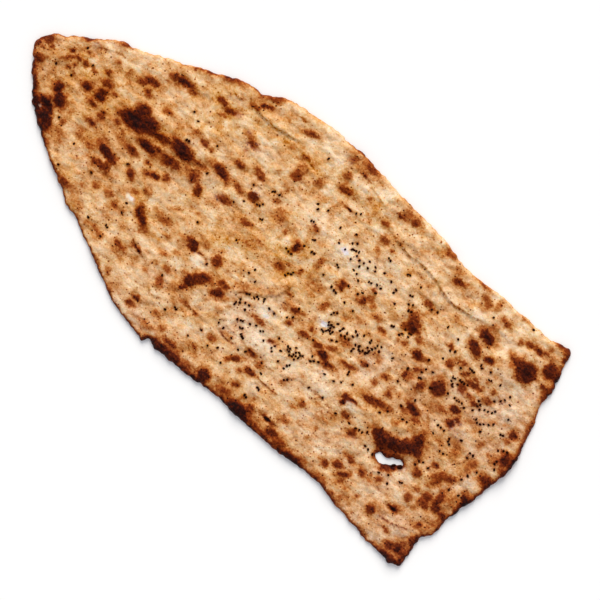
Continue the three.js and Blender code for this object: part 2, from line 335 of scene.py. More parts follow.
# Where the fire caught the crust, from the nose to the cut end: (x, y, half length, half width, turn, how
# burnt). Each is a blister that rose against the heat. 1 is burnt black, and above 1 no brown is left in it.
SCORCHES = [
    # nose
    (-247, 10.5, 4, 2.5, 40, .8), (-243, 8, 1.8, 1.5, 0, .7), (-252, 3, 2, 2, 0, .8),
    (-248, 2.5, 2, 1.5, 0, .5), (-244, -5, 4.5, 3.5, 0, .85), (-246, -11, 2.5, 2.5, 0, .7),
    (-235, -20.5, 4, 2, -35, .7), (-228.5, 17, 1.7, 1.5, 0, .95), (-216, 25, 3.2, 2, 0, .6),
    (-195.5, 23, 3, 2, 0, .78), (-221, 15.8, 3.8, 1.7, 0, .78), (-213.5, 16, 2.9, 2.2, 0, .82),
    (-205, 17, 3, 2.2, 0, .76), (-225.5, 12.5, 5, 1.7, 55, .72), (-219, 9.5, 2.3, 1.7, 0, .74),
    (-222, 5.5, 2.4, 1.9, 0, .66), (-191, 15.5, 4.6, 2.8, 5, .9), (-180, 14, 1.8, 1.6, 0, .5),
    (-188.5, 9, 4, 2.3, 5, .9), (-187.5, 4, 4.4, 2.8, 0, .97), (-188.5, -3.2, 4.2, 2, 0, .82),
    (-200.5, 3.4, 4.6, 2.7, 5, .97), (-176.5, -5, 2.8, 3.4, 0, .78), (-163.5, -.5, 2.9, 2, 0, .8),
    (-212, -6, 2.5, 2, 0, .4), (-217, -12.5, 4.6, 3.9, -30, 1), (-209, -19.5, 7, 4.3, -30, 1),
    (-216, -23, 3, 2, 0, .7), (-216, -28, 6, 3.5, -5, 1.1), (-222, -33, 5, 3, -35, 1),
    (-208, -37, 9, 4.5, -35, 1.08), (-211, -31, 6, 3, -35, 1.08), (-216, -38, 6, 2.5, -32, 1),
    (-205, -43, 5, 4, -30, .9), (-178.5, -15, 5, 2.1, -5, .82), (-195, -37.5, 3.5, 3, -20, .4),
    (-195.5, -30, 3, 1.8, 90, .64), (-179, -29, 2.5, 2, 0, .3), (-139.5, -9, 6.3, 3, -5, .9),
    (-160, -17, 3, 1.5, 0, .45), (-151.5, -24.5, 10.5, 3.3, -10, .96), (-145.5, -31, 3.4, 5, 0, .85),
    (-150.5, -35, 9, 3.1, 0, .88), (-167, -29, 6, 4, -30, .34),
    # the long burnt blisters behind the nose
    (-152, 10, 15, 7, 8, 1), (-153, 10.5, 9, 4, 10, 1.12), (-154, 19, 7, 7, 0, .95),
    (-144, 15, 9, 6, 18, .97), (-161, 7, 8, 3.5, 5, .95), (-126, 15.5, 9, 1.8, 8, .8),
    (-135, 12.5, 8, 2.5, 5, .9), (-133, 1.5, 8, 3.3, 0, 1), (-160, 32.5, 4.2, 2.2, -35, .7),
    (-165, 42, 7, 3, 8, .92), (-171.5, 37, 4.5, 3.4, 30, .75), (-138.5, 32.5, 4.2, 2.4, 0, .74),
    (-155, 57, 4.6, 2.9, 10, .85), (-145, 59.3, 7, 2.8, 12, 1), (-136, 57.5, 4, 2, 20, .65),
    (-149, 53.4, 3, 1.5, 0, .68), (-144, 75, 4, 1.5, 30, .6), (-135, 80, 4, 1.7, 30, .75),
    (-200, 49, 4, 1.5, 30, .6), (-225, 33, 4, 1.9, 45, .8), (-194.5, 35, 2, 1.8, 0, .55),
    (-182, 36.5, 3, 2.5, 30, .5), (-190, 32, 3, 2, 0, .3), (-161.5, -64.5, 5.5, 2.3, -15, .85),
    (-142, -72, 6, 4, -20, .4), (-141, -49.5, 3, 2.5, 0, .45), (-127, -24.5, 5, 2.8, -35, .92),
    (-149, -57, 3, 2, 0, .4),
    # upper left of the field
    (-113.5, 69, 5, 2.9, -5, .92), (-103.5, 67, 5.2, 2.5, 12, .92), (-106, 60.5, 4, 2, 15, .6),
    (-110, 18, 11, 5.5, -5, 1), (-126, 15, 10, 2.5, 10, .85), (-96, 19.5, 6, 1.2, 3, .7),
    (-110, 5, 9, 3.5, 8, .93), (-125, 5.5, 4, 1.2, 0, .8), (-95, 11, 6, 2.5, 5, .6), (-88, 9, 7, 4, -20, .85),
    (-80, 4, 6, 3.5, -45, .9), (-111.5, 37, 4, 1.2, 10, .6), (-100.5, 34.5, 4.5, 2, -5, .85),
    (-93, 34, 2.3, 1.8, 0, .66), (-75.5, 26.5, 8.5, 3.2, -12, .97), (-79, 29.5, 3, 3, 0, .68),
    (-67, 23, 3, 2, -40, .6), (-68.5, 41, 4.8, 2.2, 10, .8), (-51.5, 46.5, 6.5, 2.8, -15, .9),
    (-76.5, 63, 6, 2.6, -15, .54), (-71, 60, 4.5, 2.2, 5, .75), (-29, 66, 4.5, 5.5, 0, .88),
    (-29, 73, 4.5, 4, 0, .55), (-12.5, 73.5, 4.5, 5, -20, .68), (-14, 71, 7, 7, 0, .35),
    (-43.5, 98, 7, 2.8, 15, .85), (-54, 102, 5, 1.2, 8, .5), (-50, 81, 6, 1.5, 10, .32),
    (-49, 78.5, 3, 1.2, 0, .5), (-35, 81.5, 3, 1.2, 10, .6), (-83, 90.5, 5.5, 1.8, 20, .85),
    (-86.5, 88, 2.5, 1.5, 60, .95), (-91.5, 83.5, 5.5, 2.2, 8, .75), (-83, 97.5, 7, 2, 25, .65),
    (-79, 102, 7, 1.5, 35, .6), (-118, 87.5, 10, 2.5, 15, .6), (-56, 26.6, 4.8, 2.4, -15, .75),
    (-58.5, 12, 6.6, 2.9, 8, .86), (-43, 30, 5.4, 3.8, 0, .93), (-26.5, 40, 3.5, 2.6, 30, .65),
    (-16.5, 34, 7.5, 6.5, 0, .48), (-4.5, 26, 1.5, 1.8, 0, .6), (-34.5, 10, 4.8, 2.5, 8, .69),
    (-27, 53, 2.5, 1.3, 90, .5), (-4, 108, 8, 6, 0, .5), (-3, 107.5, 3, 2.5, 0, .75),
    (-5, 115, 6, 1.8, 0, .75), (0, 93, 3.5, 4.5, -30, .62), (6, 107, 14, 5, 0, .5), (-5, 65, 6, 4, 0, .35),
    (-22, 3, 14, 6, 0, .22), (-82.5, -63.8, 3.8, 1, -5, .85), (20, 74.5, 4, .8, 3, .85),
    # lower left of the field
    (-104.5, -6.5, 3.5, 2, -25, .75), (-113, -12, 6, 2.2, 18, .85), (-118, -15, 1.5, 1.3, 0, .9),
    (-123, -8, 2.4, 1.5, 0, .68), (-107.5, -26, 3, 2.5, 0, .66), (-114.5, -31.5, 3.5, 2, -10, .5),
    (-84, -32.5, 7.5, 3.5, -8, .6), (-79, -31, 3, 2.5, 0, .65), (-86, -23, 3, 1.2, 0, .4),
    (-103, -36, 4, 2.5, -60, .7), (-101, -41, 5, 4, -45, .97), (-95, -44.5, 6, 3, -30, .97),
    (-91, -48.5, 6, 3, -15, .66), (-129, -47.5, 4, 3.5, -30, .6), (-118.5, -51.5, 3.5, 2, 20, .48),
    (-117, -75, 5, 2.2, -10, .6), (-126, -77, 5, 2, 0, .4), (-95, -71.5, 5.5, 2.5, -10, .75),
    (-95, -76.5, 6, 1.5, -20, .4), (-78, -71, 4, 3, 0, .5), (-73, -40.7, 3, 1, 0, .5),
    (-52, -31.5, 5, 4.5, -45, 1), (-56, -29.5, 4, 4, 0, .8), (-55, -33, 9, 8, 0, .4),
    (-45, -24.5, 4.5, 3, -20, .58), (-30, -27.5, 5, 4, -35, .9), (-29, -45, 6, 4, 30, .93),
    (-35, -54, 5, 5, 60, .97), (-30.5, -48, 7, 4.5, 50, .95), (-34.5, -57, 3, 4, 0, 1),
    (-41, -53, 4, 3, 0, .42), (-36, -62, 3, 1.5, 80, .9), (-41, -65, 4.5, 4, 20, .5),
    (-13, -38.5, 6, 3, 5, .85), (-12, -46, 5.5, 4, 20, .9), (-21, -44, 6, 3, 0, .42),
    (-65, -53, 3.5, 2.2, 0, .5), (-64.5, -61.5, 3.2, 2.2, 0, .5), (-54.5, -59.5, 4, 2.2, -25, .65),
    (-52, -71, 5, 3, -60, .7), (-58, -45, 3, 2, 0, .4), (-59, -38, 5, 4, 0, .4), (-4, -30, 3, 3, 0, .5),
    (-3, -55, 4, 3, 0, .45), (-21, -70, 7, 1, 0, .55), (-22, -75, 4, 2, 0, .4), (-36, -91, 3.5, 2.3, 0, .55),
    (-28, -84, 4, 3, 20, .4), (-56, -93, 3.5, 1.9, -5, .9), (-58, -99.5, 3.2, 2, 10, .9),
    (-87, -93.5, 1.7, 1.3, -40, .85), (-25, -97, 3, 2.5, 0, .55), (-13, -101.5, 7, 2, 5, .75),
    (-10, -108, 15, 3.5, 5, .95), (-23, -108.5, 4, 2.5, 30, .95), (-35, -103, 7, 2, 0, .45),
    # upper middle
    (8, 111, 12, 3.5, 0, .6), (11, 109.5, 6, 2.6, 0, .85), (8.5, 84, 6.4, 3, 10, .84), (3, 89, 3, 3, 0, .32),
    (26, 91.5, 2.8, 2, 0, .6), (37, 87, 2, 1.5, 0, .5), (48.5, 85.5, 4.5, 2.4, 0, .7),
    (60, 103, 10.5, 4, -5, .65), (66, 103, 4, 4, 0, .9), (55, 99, 5.5, 2.2, 0, .88),
    (43, 106, 1.5, 1.2, 0, .5), (103.5, 104.5, 6, 2.4, -12, .78), (124.5, 92, 6.8, 3, 15, .9),
    (119, 97, 9, 4, 0, .42), (57.5, 76, 5, 3.1, 0, .8), (67, 73, 1.8, 1.2, 0, .85), (118, 62.5, 5, 2, 0, .7),
    (108, 73, 3, 2, 0, .32), (104, 64, 4, 3, 20, .3), (117, 47, 4, 4, 0, .85), (121, 41, 6, 5, 0, .95),
    (116, 37, 4, 3, 0, .8), (11, 45, 3.5, 2.2, 0, .7), (10, 42, 5, 4, 0, .4), (21, 36, 4, 3.5, 0, .28),
    (8, 27, 3.6, 1.8, 0, .75), (9, 23, 2.5, 3.5, 0, .95), (31.5, 27, 6, 2.5, 90, .65),
    (57, 28, 3.4, 2, 0, .86), (57, 25.5, 2.6, 3.8, 0, .9), (77.5, 28.5, 2.5, 3, -40, .9),
    (81, 34, 3.5, 3, 0, .58), (86, 32, 4, 2.5, 0, .36), (76, 27, 5, 3, 0, .5), (95.5, 26.5, 4, 3.2, 0, .58),
    (105, 36, 3, 3, 0, .45), (104, 21.5, 2.8, 1.7, 0, .76), (125, 26.5, 3, 2, 20, .75),
    (119, 25, 2, 2, 0, .5), (131, 36, 3, 2, -30, .6), (25, 11.5, 3, 3, 30, .84), (38, 14, 6, 5, 0, .45),
    (38, 12, 2, 1.5, 0, .6), (24, -8, 3.5, 8, -15, .26), (15, -19, 8, 4, 38, .42), (3, -28, 7, 4, 40, .42),
    (15, 10, 2.5, 2, 0, .55), (10, 3.5, 4.6, 3.3, 0, .7), (58, 4, 3, 4, 0, .75), (87, 16.5, 5, 2, 0, .4),
    (75, 10, 4, 3, 0, .2), (115, 4, 5, 3, 20, .5), (78, 40.5, 3.6, 1.8, 0, .7), (82, 85, 3, 2, 0, .22),
    (60.5, 64, 7.5, 1.3, -53, .4),
    # lower middle
    (89, -5, 5.5, 4, 5, .6), (34, -13, 4, 3, 0, .44), (34, -18, 4, 2, 0, .5), (31, -7.5, 2.5, 1.5, 0, .7),
    (43.5, -13.5, 5, 2, 15, .72), (49, -12, 3, 1.7, 20, .58), (63.5, -16.5, 2, 1.2, 0, .95),
    (46, -24.5, 3.2, 2, 10, .85), (61, -23, 4.5, 2, 20, .7), (76, -21.5, 4.5, 2, 5, .8),
    (85, -16.5, 5, 1.8, 30, .66), (84, -25, 5, 3, -20, .9), (92, -28, 5, 2.2, 10, .85),
    (104.5, -17.5, 5.6, 2.2, 15, .85), (131.5, -4, 3.5, 1.7, 5, .7), (112, -7.5, 4, 2, 0, .7),
    (128.5, -12.5, 2.5, 2, 0, .5), (27, -39.5, 7.5, 2.4, 5, .75), (46, -45, 3.5, 2, 30, .7),
    (119.5, -37, 3.5, 3, 0, .97), (125.5, -35.5, 4.6, 1.5, 8, 1), (120.5, -41, 3, 2, 90, .95),
    (129, -47.3, 4.5, 2.2, 0, .76), (41, -62.5, 4.5, 2, 0, .85), (52.5, -65.5, 3, 3, 0, .47),
    (98, -64.5, 4, 3, -15, .7), (118, -63.5, 4.5, 3, 0, .5), (108, -56, 4, 1.5, 0, .5),
    (118, -55, 8, 1.5, 0, .3), (73.5, -63.5, 2.5, 1.2, 0, .55), (94, -71, 3, 2, 0, .5),
    (10, -75.5, 4, 2.2, 15, .7), (34, -74.5, 5, 2.2, 40, .8), (30, -79, 2.2, 2.2, 20, .78),
    (50, -74.5, 4.5, 2.4, 5, .85), (3, -90, 2, 1.5, 0, .6), (49, -89.5, 3.5, 2, 10, .7),
    (43, -79, 1.9, 1.9, 0, .72), (70, -96, 3.5, 3, -40, .75), (97, -98, 4, 2.5, 20, .85),
    (95, -84, 6, 4, 0, .36), (24, -102, 4.5, 6, 0, 1), (64, -103, 8, 5, 0, 1), (120, -102, 7, 2.5, 0, 1),
    (46, -99, 4, 3, 0, .6), (75, -102, 6, 3, 0, .35), (105, -100, 8, 3, 0, .7), (85.5, -92.2, 4.5, 1, -3, .9),
    # upper right
    (151.5, 95.5, 5, 3, -20, .66), (150, 90, 3, 3, 0, .4), (160, 99, 4, 2.5, 90, .62),
    (174, 93.5, 5.2, 2.7, -10, .84), (170, 75, 8, 4.2, -15, 1), (169, 81.5, 4.5, 3.5, 0, .38),
    (168, 62, 7, 4, -20, .98), (183.5, 62.5, 4.5, 2.6, 5, .95), (187, 65, 3, 2.5, 0, .48),
    (212, 75.5, 8.6, 9, -10, 1), (204, 77.5, 7, 4.6, 0, .93), (196.5, 78, 4.5, 2.8, -10, .66),
    (192.5, 90, 2.4, 2.4, 0, .7), (199, 94, 5, 2.5, 12, .9), (207, 95, 6, 2.5, -8, .8),
    (214, 97.5, 3, 1.5, 0, .72), (226, 89.5, 7, 6.6, 30, .96), (234, 88, 2.5, 4, 0, 1),
    (219, 109.5, 4, 2.5, 0, .7), (225.5, 109.5, 3.6, 3.6, 0, .82), (228, 104, 2.2, 3, 0, .72),
    (221, 96, 3, 3, 0, .5), (225, 103, 4, 3, 0, .3), (215, 103, 2, 1.5, 0, .6), (235, 75, 3.5, 6, 0, .8),
    (230, 76, 2, 2, 0, .8), (139.5, 26.5, 5, 3.8, 10, .95), (145, 28, 4, 2.5, 20, .7),
    (169, 18.5, 6, 6.5, 30, .93), (166, 25, 4, 3, 0, .55), (190.5, 15, 4.5, 3.3, 10, .95),
    (197, 10, 2.5, 1.8, 0, .8), (195.5, 4.5, 3.2, 3, 30, .92), (157.5, 10, 3.2, 4.5, 0, .9),
    (142, 8, 2.5, 3, 0, .78), (144, 9, 5, 4, 0, .5), (146.5, 17, 3, 2, 60, .65),
    (162.5, 39.5, 3, 3.2, 0, .72), (153.5, 50.3, 2.7, 2, 0, .8), (170, 47, 4.2, 2, 15, .68),
    (177.5, 42, 4.2, 2.2, 25, .75), (189, 39.5, 7, 2.6, 5, .85), (187, 44, 3.2, 1.4, 0, .68),
    (183, 31.5, 4.5, 3, -40, .85), (193, 31, 5, 2.1, 0, .72), (198, 29, 3, 2.5, 0, .85),
    (204, 37.5, 5, 2.8, 5, .72), (204, 46.5, 2.8, 2.1, 0, .64), (238.5, 31.5, 3.3, 3.3, 0, .85),
    (238, 25, 3, 2.5, 0, .62), (244, 45, 8, 2.5, -70, .48), (252, 27, 6, 2.5, -70, .7),
    (254, 14, 2.5, 7, 0, .97), (247, 12, 6, 4, -60, .9), (251, 4, 4, 3, 0, .7), (224.5, 10, 2, 4, 0, .45),
    (139, 103.6, 5.5, 1.6, 0, .72), (183, 106, 4, 1.5, 0, .5),
    # lower right, with the bat-shaped burn above the crescent hole
    (165, -7.5, 7, 3, -15, .95), (173, -13, 3, 2.5, 0, .75), (162, -13, 3, 1, 0, .5),
    (162.5, -26, 4, 2.6, 30, .45), (143, -12, 2.8, 1.8, 0, .76), (130, -25.5, 3.2, 2, 0, .86),
    (139, -24.2, 9.5, 2.8, 17, .92), (186.5, -24, 5, 7.5, 0, .97), (189, -31, 7, 4.5, 0, .97),
    (175, -38, 9.5, 5.5, 15, 1), (163, -40.5, 10, 5.5, 5, 1), (154, -44, 5, 2.6, 30, .5),
    (168, -46, 8, 3, 15, .88), (182, -33, 7, 6, 40, .97), (207.5, -76, 4.8, 2.4, 5, .92),
    (177, -46, 7, 2.6, 22, .82), (185.4, -52, 2.2, 2, 0, 1.1), (190, -48.4, 1.6, 1.4, 30, .8),
    (181, -57.5, 4.5, 3, 30, .68), (181, -58, 4, 2, 25, .8), (202.8, -43.2, 3.8, 3.8, 0, .8),
    (210.5, -62, 3.2, 3, 0, .85), (212, -52.5, 2.5, 2, 0, .55), (184, -67, 2.8, 2.8, 0, .65),
    (155.5, -71, 5, 2.3, -10, .85), (170, -73, 4, 2.3, -30, .75), (152, -80.5, 5, 3, 20, .9),
    (160, -84, 5, 2, 40, .85), (144, -87, 3, 2.3, 0, .85), (162.5, -89, 3, 2, 0, .65),
    (143, -54, 4, 3.5, -30, .8), (195.5, -89, 3.8, 3.8, 0, .92), (180, -89, 1.8, 1.5, 0, .7),
    (215, -92.5, 2.5, 2.3, 0, .6), (225, -100.5, 4, 2.8, 0, 1), (234, -98.5, 4, 2.5, 20, .97),
    (232, -107, 8, 3, 5, .85), (240, -105, 3, 4, 0, .45), (237, -84, 3.5, 4, 0, .85),
    (232, -72, 1.8, 1.8, 0, .75), (246, -33, 3.5, 5, 20, 1), (243.5, -30.5, 2, 2, 0, .9),
    (247.5, -9.5, 4.5, 3.5, 0, .85), (250, -14, 2, 2, 0, .65), (247, -46, 1.5, 3, 0, 1),
    (217, -35, 5, 5, 0, .75), (220, -30, 4, 3, 0, .7), (217, -41, 3, 2, 0, .6), (226, -28, 5, 2.2, 30, .7),
    (222, -51, 5, 3.5, 30, .8), (230, -47, 3, 6, 0, .85), (233, -53, 4, 3, 0, 1), (223, -57, 5, 3, 0, .8),
    (241, -54, 4, 2, 0, .8), (242, -58, 2.5, 3, 0, .35), (209.5, -28, 3, 1.8, 20, .75),
    (214, -9, 4, 6, 0, .34), (231.5, -7, 3, 3.5, 0, .45),
]


def scattered(count, seed, *ranges):
    """Marks placed by chance, with each of their values drawn from its own range."""
    rng = np.random.default_rng(seed)
    return [tuple(rng.uniform(low, high) for low, high in ranges) for _ in range(count)]


# Freckles: small toasted tips of the crust between the larger burns, in the same form as SCORCHES.
FRECKLES = scattered(700, 81, (-250, 250), (-112, 112), (0.9, 2.6), (0.7, 1.6), (-40, 40), (0.1, 0.38))

# Broad colour of the crust: (x, y, half length, half width, turn, more or less baked), fading out softly.
ZONES = [
    (-215, 0, 46, 30, 0, .08), (-130, 5, 60, 26, 0, .08), (-60, 60, 60, 26, -10, -.04),
    (-100, 88, 40, 8, 15, .03), (20, 50, 50, 24, 0, -.07), (60, 48, 34, 18, 0, -.08),
    (-40, 98, 50, 12, 5, -.06), (60, 95, 70, 10, 0, -.05), (40, -38, 44, 20, 5, -.12),
    (75, -24, 30, 9, 0, .12), (120, -15, 24, 16, 0, -.04), (92, -45, 36, 12, 0, -.05),
    (-56, -48, 36, 16, 0, -.06), (-20, 2, 22, 12, 0, .06), (-22, -45, 20, 16, 0, .08),
    (34, 8, 20, 12, 0, .01), (-60, -88, 70, 12, -4, -.03), (60, -100, 100, 9, 0, .16),
    (168, -27, 14, 7, 0, -.06), (170, 8, 32, 22, 0, .07), (238, 40, 18, 50, 0, .06),
    (236, -50, 16, 60, 0, .12), (212, 92, 26, 22, 0, -.03), (115, 101, 24, 6, 0, .1),
    (190, -60, 40, 24, 0, .02), (175, -100, 60, 10, 0, .06), (155, 82, 46, 22, 0, -.04),
    (220, 25, 26, 16, 0, -.05), (-150, -45, 60, 16, -25, .04), (-180, 30, 40, 16, 20, -.05),
    (-106, -60, 40, 12, -20, .02), (-80, -10, 26, 14, 0, -.09), (150, -65, 26, 12, 0, .04),
    (60, 104, 120, 9, 0, -.09), (190, 98, 40, 10, 0, -.08), (140, -10, 40, 26, 0, .04),
    (205, -14, 20, 14, 0, .1), (226, -92, 16, 16, 0, .08), (145, -50, 20, 12, 0, -.01),
    (190, 5, 30, 24, 0, .05), (-150, 0, 20, 20, 0, .05), (240, 0, 14, 110, 0, .05), (50, 0, 60, 20, 0, -.02),
    (-16, -18, 16, 10, 0, -.07), (-48, 16, 20, 14, 0, -.04), (14, -16, 14, 12, 0, -.07),
    (144, -18, 14, 12, 0, .1), (208, 16, 14, 14, 0, .05), (48, -48, 16, 10, 0, .07),
    (112, 48, 14, 14, 0, -.03), (-110, 6, 20, 12, 0, -.03), (-48, -48, 14, 12, 0, -.03),
    (-16, 80, 16, 12, 0, -.04), (144, -52, 14, 12, 0, -.05), (176, 46, 14, 14, 0, -.04),
    (16, 76, 14, 14, 0, -.03), (80, 76, 14, 12, 0, -.03), (-144, 46, 14, 14, 0, -.06),
    (112, -16, 14, 12, 0, -.03), (-112, -48, 14, 12, 0, -.04), (-208, 16, 14, 12, 0, -.05),
    (-144, -16, 16, 12, 0, -.03), (218, 110, 18, 8, 0, -.05),
]

# Hue of the dough: (x, y, half length, half width, turn, more golden or more grey).
GOLDEN = [
    (-190, 10, 40, 24, 0, .6), (-100, 62, 34, 18, 0, .6), (-40, 84, 60, 16, 0, .4), (-125, 10, 20, 14, 0, .5),
    (-40, -12, 34, 14, 0, .45), (10, 12, 40, 14, 0, .6), (-100, -36, 18, 12, 0, .55), (36, 84, 12, 12, 0, .4),
    (-220, 40, 30, 16, 20, -.6), (-252, 0, 10, 20, 0, -.5), (20, -50, 22, 18, 0, -1),
    (92, -40, 16, 12, 0, -.7), (116, -2, 16, 16, 0, -.9), (165, 10, 30, 26, 0, -.6),
    (215, 40, 30, 34, 0, -.8), (236, 0, 16, 60, 0, -.6), (190, -60, 24, 30, 0, -.7),
    (130, -75, 36, 20, 0, -.55), (228, -90, 22, 26, 0, -1), (-30, -108, 60, 10, 0, -1.1),
    (180, -108, 60, 8, 0, -1.2), (60, -62, 30, 10, 0, -.4), (160, 82, 20, 14, 0, -.3),
    (-60, -75, 20, 16, 0, -.4),
]

# Pale places: (x, y, half length, half width, turn, amount). Up to 1 they are floury. Above 1 the dough was
# also stretched thin before it baked, and is nearly white.
PALE = [
    (127, -40, 6, 3.5, 0, .75), (-41, -37.8, 6.8, 5.2, 0, 1), (-114, -38, 5, 2.6, -15, 1.35),
    (28, -31, 11, 6, 5, .85), (29, -33, 6, 2.6, 5, 1.25), (42, -51.5, 17, 6.3, 5, .8), (71, -49, 5, 7, 0, .8),
    (26, -20, 8, 5, 0, .4), (95, -36, 4, 4, 0, .6), (12, 95, 8, 4, 0, .55), (118, 73, 6, 4, 0, .45),
    (60, 52, 20, 9, 0, .45), (84, 47, 14, 7, 0, .35), (120, 10, 6, 4, 0, .4), (-42.5, 35, 5.5, 2.6, 0, .65),
    (240, -20, 7, 5, 0, .5), (197, -54, 4, 5, 0, .6), (193, -49, 4, 3.4, 0, .6), (225, 42, 6, 8, 0, .4),
    (39, 47.5, 8.5, 4.5, -5, 1), (40, 47.6, 6, 3, -5, 1.6), (183, 27, 7, 3.5, 10, .4),
    (-217, -33.8, 5, 1.2, -30, .5), (119, -17, 6, 5, 0, .55), (60, -83, 7, 6, 0, .45),
    (104, -88, 9, 3, 5, .4), (10, -16, 5, 5, 0, .3), (-88, 68, 12, 5, 0, .3), (-62, 62, 9, 7, 0, .45),
    (-73, 54, 8, 5, 0, .3), (2, 52, 12, 8, 0, .35), (-105, 77, 8, 2.5, 10, .45),
    (67.4, -6.2, 4.8, 3.2, 15, 1.55), (67.4, -6, 8, 6, 0, .4), (-66, 10, 10, 5, 0, .3),
    (110, -45, 12, 5, 0, .3), (-20, 102, 16, 6, 0, .35), (152, -60, 10, 5, 0, .35), (185, -78, 12, 4, 0, .3),
    (205, 5, 10, 7, 0, .4), (-95, -20, 9, 5, 0, .25),
]

# Browning of the edge: (x, y, how brown, width), from the tip of the nose along the lower side and back.
EDGES = [
    (-255, 4, .7, 2.2), (-245, -13, .8, 2.4), (-222, -36, 1.0, 3.5), (-204, -48, .95, 2.6),
    (-180, -60, .75, 1.6), (-150, -74, .7, 1.4), (-120, -85, .8, 1.8), (-90, -98, .85, 1.9),
    (-60, -110, .9, 1.9), (-42, -113, .95, 2.0), (-24, -111, .9, 2.2), (0, -111, .95, 3.4),
    (24, -109, 1.0, 3.6), (46, -107, .9, 3.8), (64, -108, 1.0, 4.4), (90, -107, .85, 4.0),
    (120, -105, 1.0, 3.6), (150, -102, .8, 2.4), (180, -106, .7, 2.2), (210, -109, .75, 2.4),
    (240, -108, .95, 3.0), (242, -85, .8, 2.6), (246, -64, .75, 2.4), (247, -45, .85, 2.4),
    (250, -30, .85, 2.4), (254, -5, .7, 2.4), (255, 14, .9, 2.6), (250, 34, .6, 2.2), (241, 58, .4, 2.0),
    (237, 80, .75, 2.6), (231, 100, .55, 2.2), (223, 113, .6, 2.0), (205, 108, .1, 1.4), (170, 107, 0, 1.0),
    (130, 104, 0, 1.0), (100, 108, 0, 1.0), (64, 110, .1, 1.2), (30, 112, 0, 1.0), (0, 115, .3, 1.4),
    (-40, 112, 0, 1.0), (-70, 107, .15, 1.2), (-90, 97, .55, 1.8), (-120, 88, .35, 1.6), (-150, 73, .2, 1.4),
    (-180, 58, .15, 1.4), (-205, 48, .3, 1.5), (-225, 33, .35, 1.4), (-240, 20, .5, 1.8),
    (-250, 13, .75, 2.2),
]

# Pale bubbles that rose without catching the fire: (x, y, half length, half width, turn, height).
BUBBLES = [
    (-41, -38, 8, 7, 0, 1.5), (-43, 33.5, 7, 4.5, 0, 1.1), (240, -20, 9, 6, 0, 1.4),
    (236, -42, 7, 10, 0, 1.6), (128, -40, 8, 5, 0, 1.1), (170, -26, 11, 6, 10, 1.2),
    (20, -8, 16, 12, 30, 1.3), (-112, -38, 7, 4, 0, 0.8), (-70, 86, 20, 5, 8, 1.2), (90, 88, 26, 6, -2, 1.1),
    (146, 82, 14, 5, 10, 1.0), (40, -54, 24, 8, 5, 0.9), (95, -46, 20, 7, 8, 0.9), (64, 52, 22, 10, 5, 0.9),
    (-62, 62, 12, 9, 0, 0.9), (12, 95, 14, 6, 0, 1.0), (217, -88, 12, 5, 20, 0.9), (-135, 20, 22, 10, 5, 1.0),
    (206, 4, 14, 9, 0, 0.8), (150, -62, 12, 7, 0, 0.8), (24, -72, 15, 4, 0, 0.8), (66, -70, 16, 4, 0, 0.8),
    (-50, -76, 11, 5, 0, 0.8), (-92, -56, 12, 5, -15, 0.8),
]


def fire_marks(x, y, marks):
    """How burnt each point is, and how high the blisters under the burns stand."""
    burnt = np.zeros_like(x)
    raised = np.zeros_like(x)
    for mark in marks:
        middle_x, middle_y, half_length, half_width, _, strength = mark
        narrow = min(half_length, half_width)
        reach = 2 * max(half_length, half_width) + 5
        near = np.flatnonzero((abs(x - middle_x) < reach) & (abs(y - middle_y) < reach))
        ratio = across(x[near], y[near], mark)
        # a dark patch, a scorched glow round it, and a dome of risen crust under both
        beyond = (ratio - 1) * narrow - 0.45
        cover = (1 - step_up(beyond, -0.9, 0.7)) * (1 - 0.2 * step_up(ratio, 0.35, 1.1))
        glow = 0.4 * (1 - step_up(beyond, 0, 1.4 + 0.5 * min(narrow, 5)))
        # a large patch bakes more evenly than a small one, so it is a little less dark, unless it is char
        amount = 0.88 * strength - 0.07 * step_up(narrow, 1.8, 3) * (1 - step_up(strength, 0.9, 1))
        burnt[near] = np.maximum(burnt[near], amount * np.maximum(cover, glow))
        dome = np.clip(1 - (ratio / 1.35) ** 2, 0, 1) ** 1.5
        raised[near] = np.maximum(raised[near], dome * (0.25 + 0.17 * min(narrow, 5)) * strength)
    return burnt, raised


LIP_SIDE = (-0.68, 0.73)  # the side of a crack that usually stands proud
CRACK_REACH = 12  # how far from its line a crack shapes the crust


def crack_lines(x, y):
    """How far the lip along each crack stands up or its foot drops, and how dark the shade painted along it
    is.
    """
    lift = np.zeros_like(x)
    painted_crack_shade = np.zeros_like(x)
    for width, drop, shade, points in CRACKS:
        points = np.array(points, float)
        low, high = points.min(0) - CRACK_REACH, points.max(0) + CRACK_REACH
        near = np.flatnonzero((x > low[0]) & (x < high[0]) & (y > low[1]) & (y < high[1]))
        spots = np.stack([x[near], y[near]], 1)
        far = np.full(len(near), np.inf)
        beside = np.zeros(len(near))
        for a, b in zip(points, points[1:]):
            run = b - a
            share = np.clip(((spots - a) @ run) / (run @ run), 0, 1)
            gap = spots - a - share[:, None] * run
            upper = np.array([-run[1], run[0]]) / np.linalg.norm(run)
            upper *= np.sign(upper @ LIP_SIDE)
            nearer = np.linalg.norm(gap, axis=1) < far
            beside = np.where(nearer, np.sign(gap @ upper), beside)
            far = np.minimum(far, np.linalg.norm(gap, axis=1))
        ends = np.minimum(np.linalg.norm(spots - points[0], axis=1),
                          np.linalg.norm(spots - points[-1], axis=1))
        taper = 0.3 + 0.7 * step_up(ends, 0, 4)
        # a lip that slopes away over some 4 mm on the proud side, and a narrow foot on the other
        lip = np.where(beside > 0, np.exp(-(far / 4.2) ** 1.5), np.exp(-far / 0.4))
        foot = np.where(beside > 0, 0, np.exp(-((far - 0.5) / (0.8 * width)) ** 2))
        lift[near] += drop * taper * (0.75 * lip - 0.55 * foot)
        # painted shade: a dark line at the foot of the lip, where the lip's shadow falls
        line = np.exp(-((far + 0.3 * np.where(beside > 0, 1, -1)) / (0.62 * width)) ** 2)
        painted_crack_shade[near] = np.maximum(painted_crack_shade[near], shade * taper * line)
    return lift, painted_crack_shade


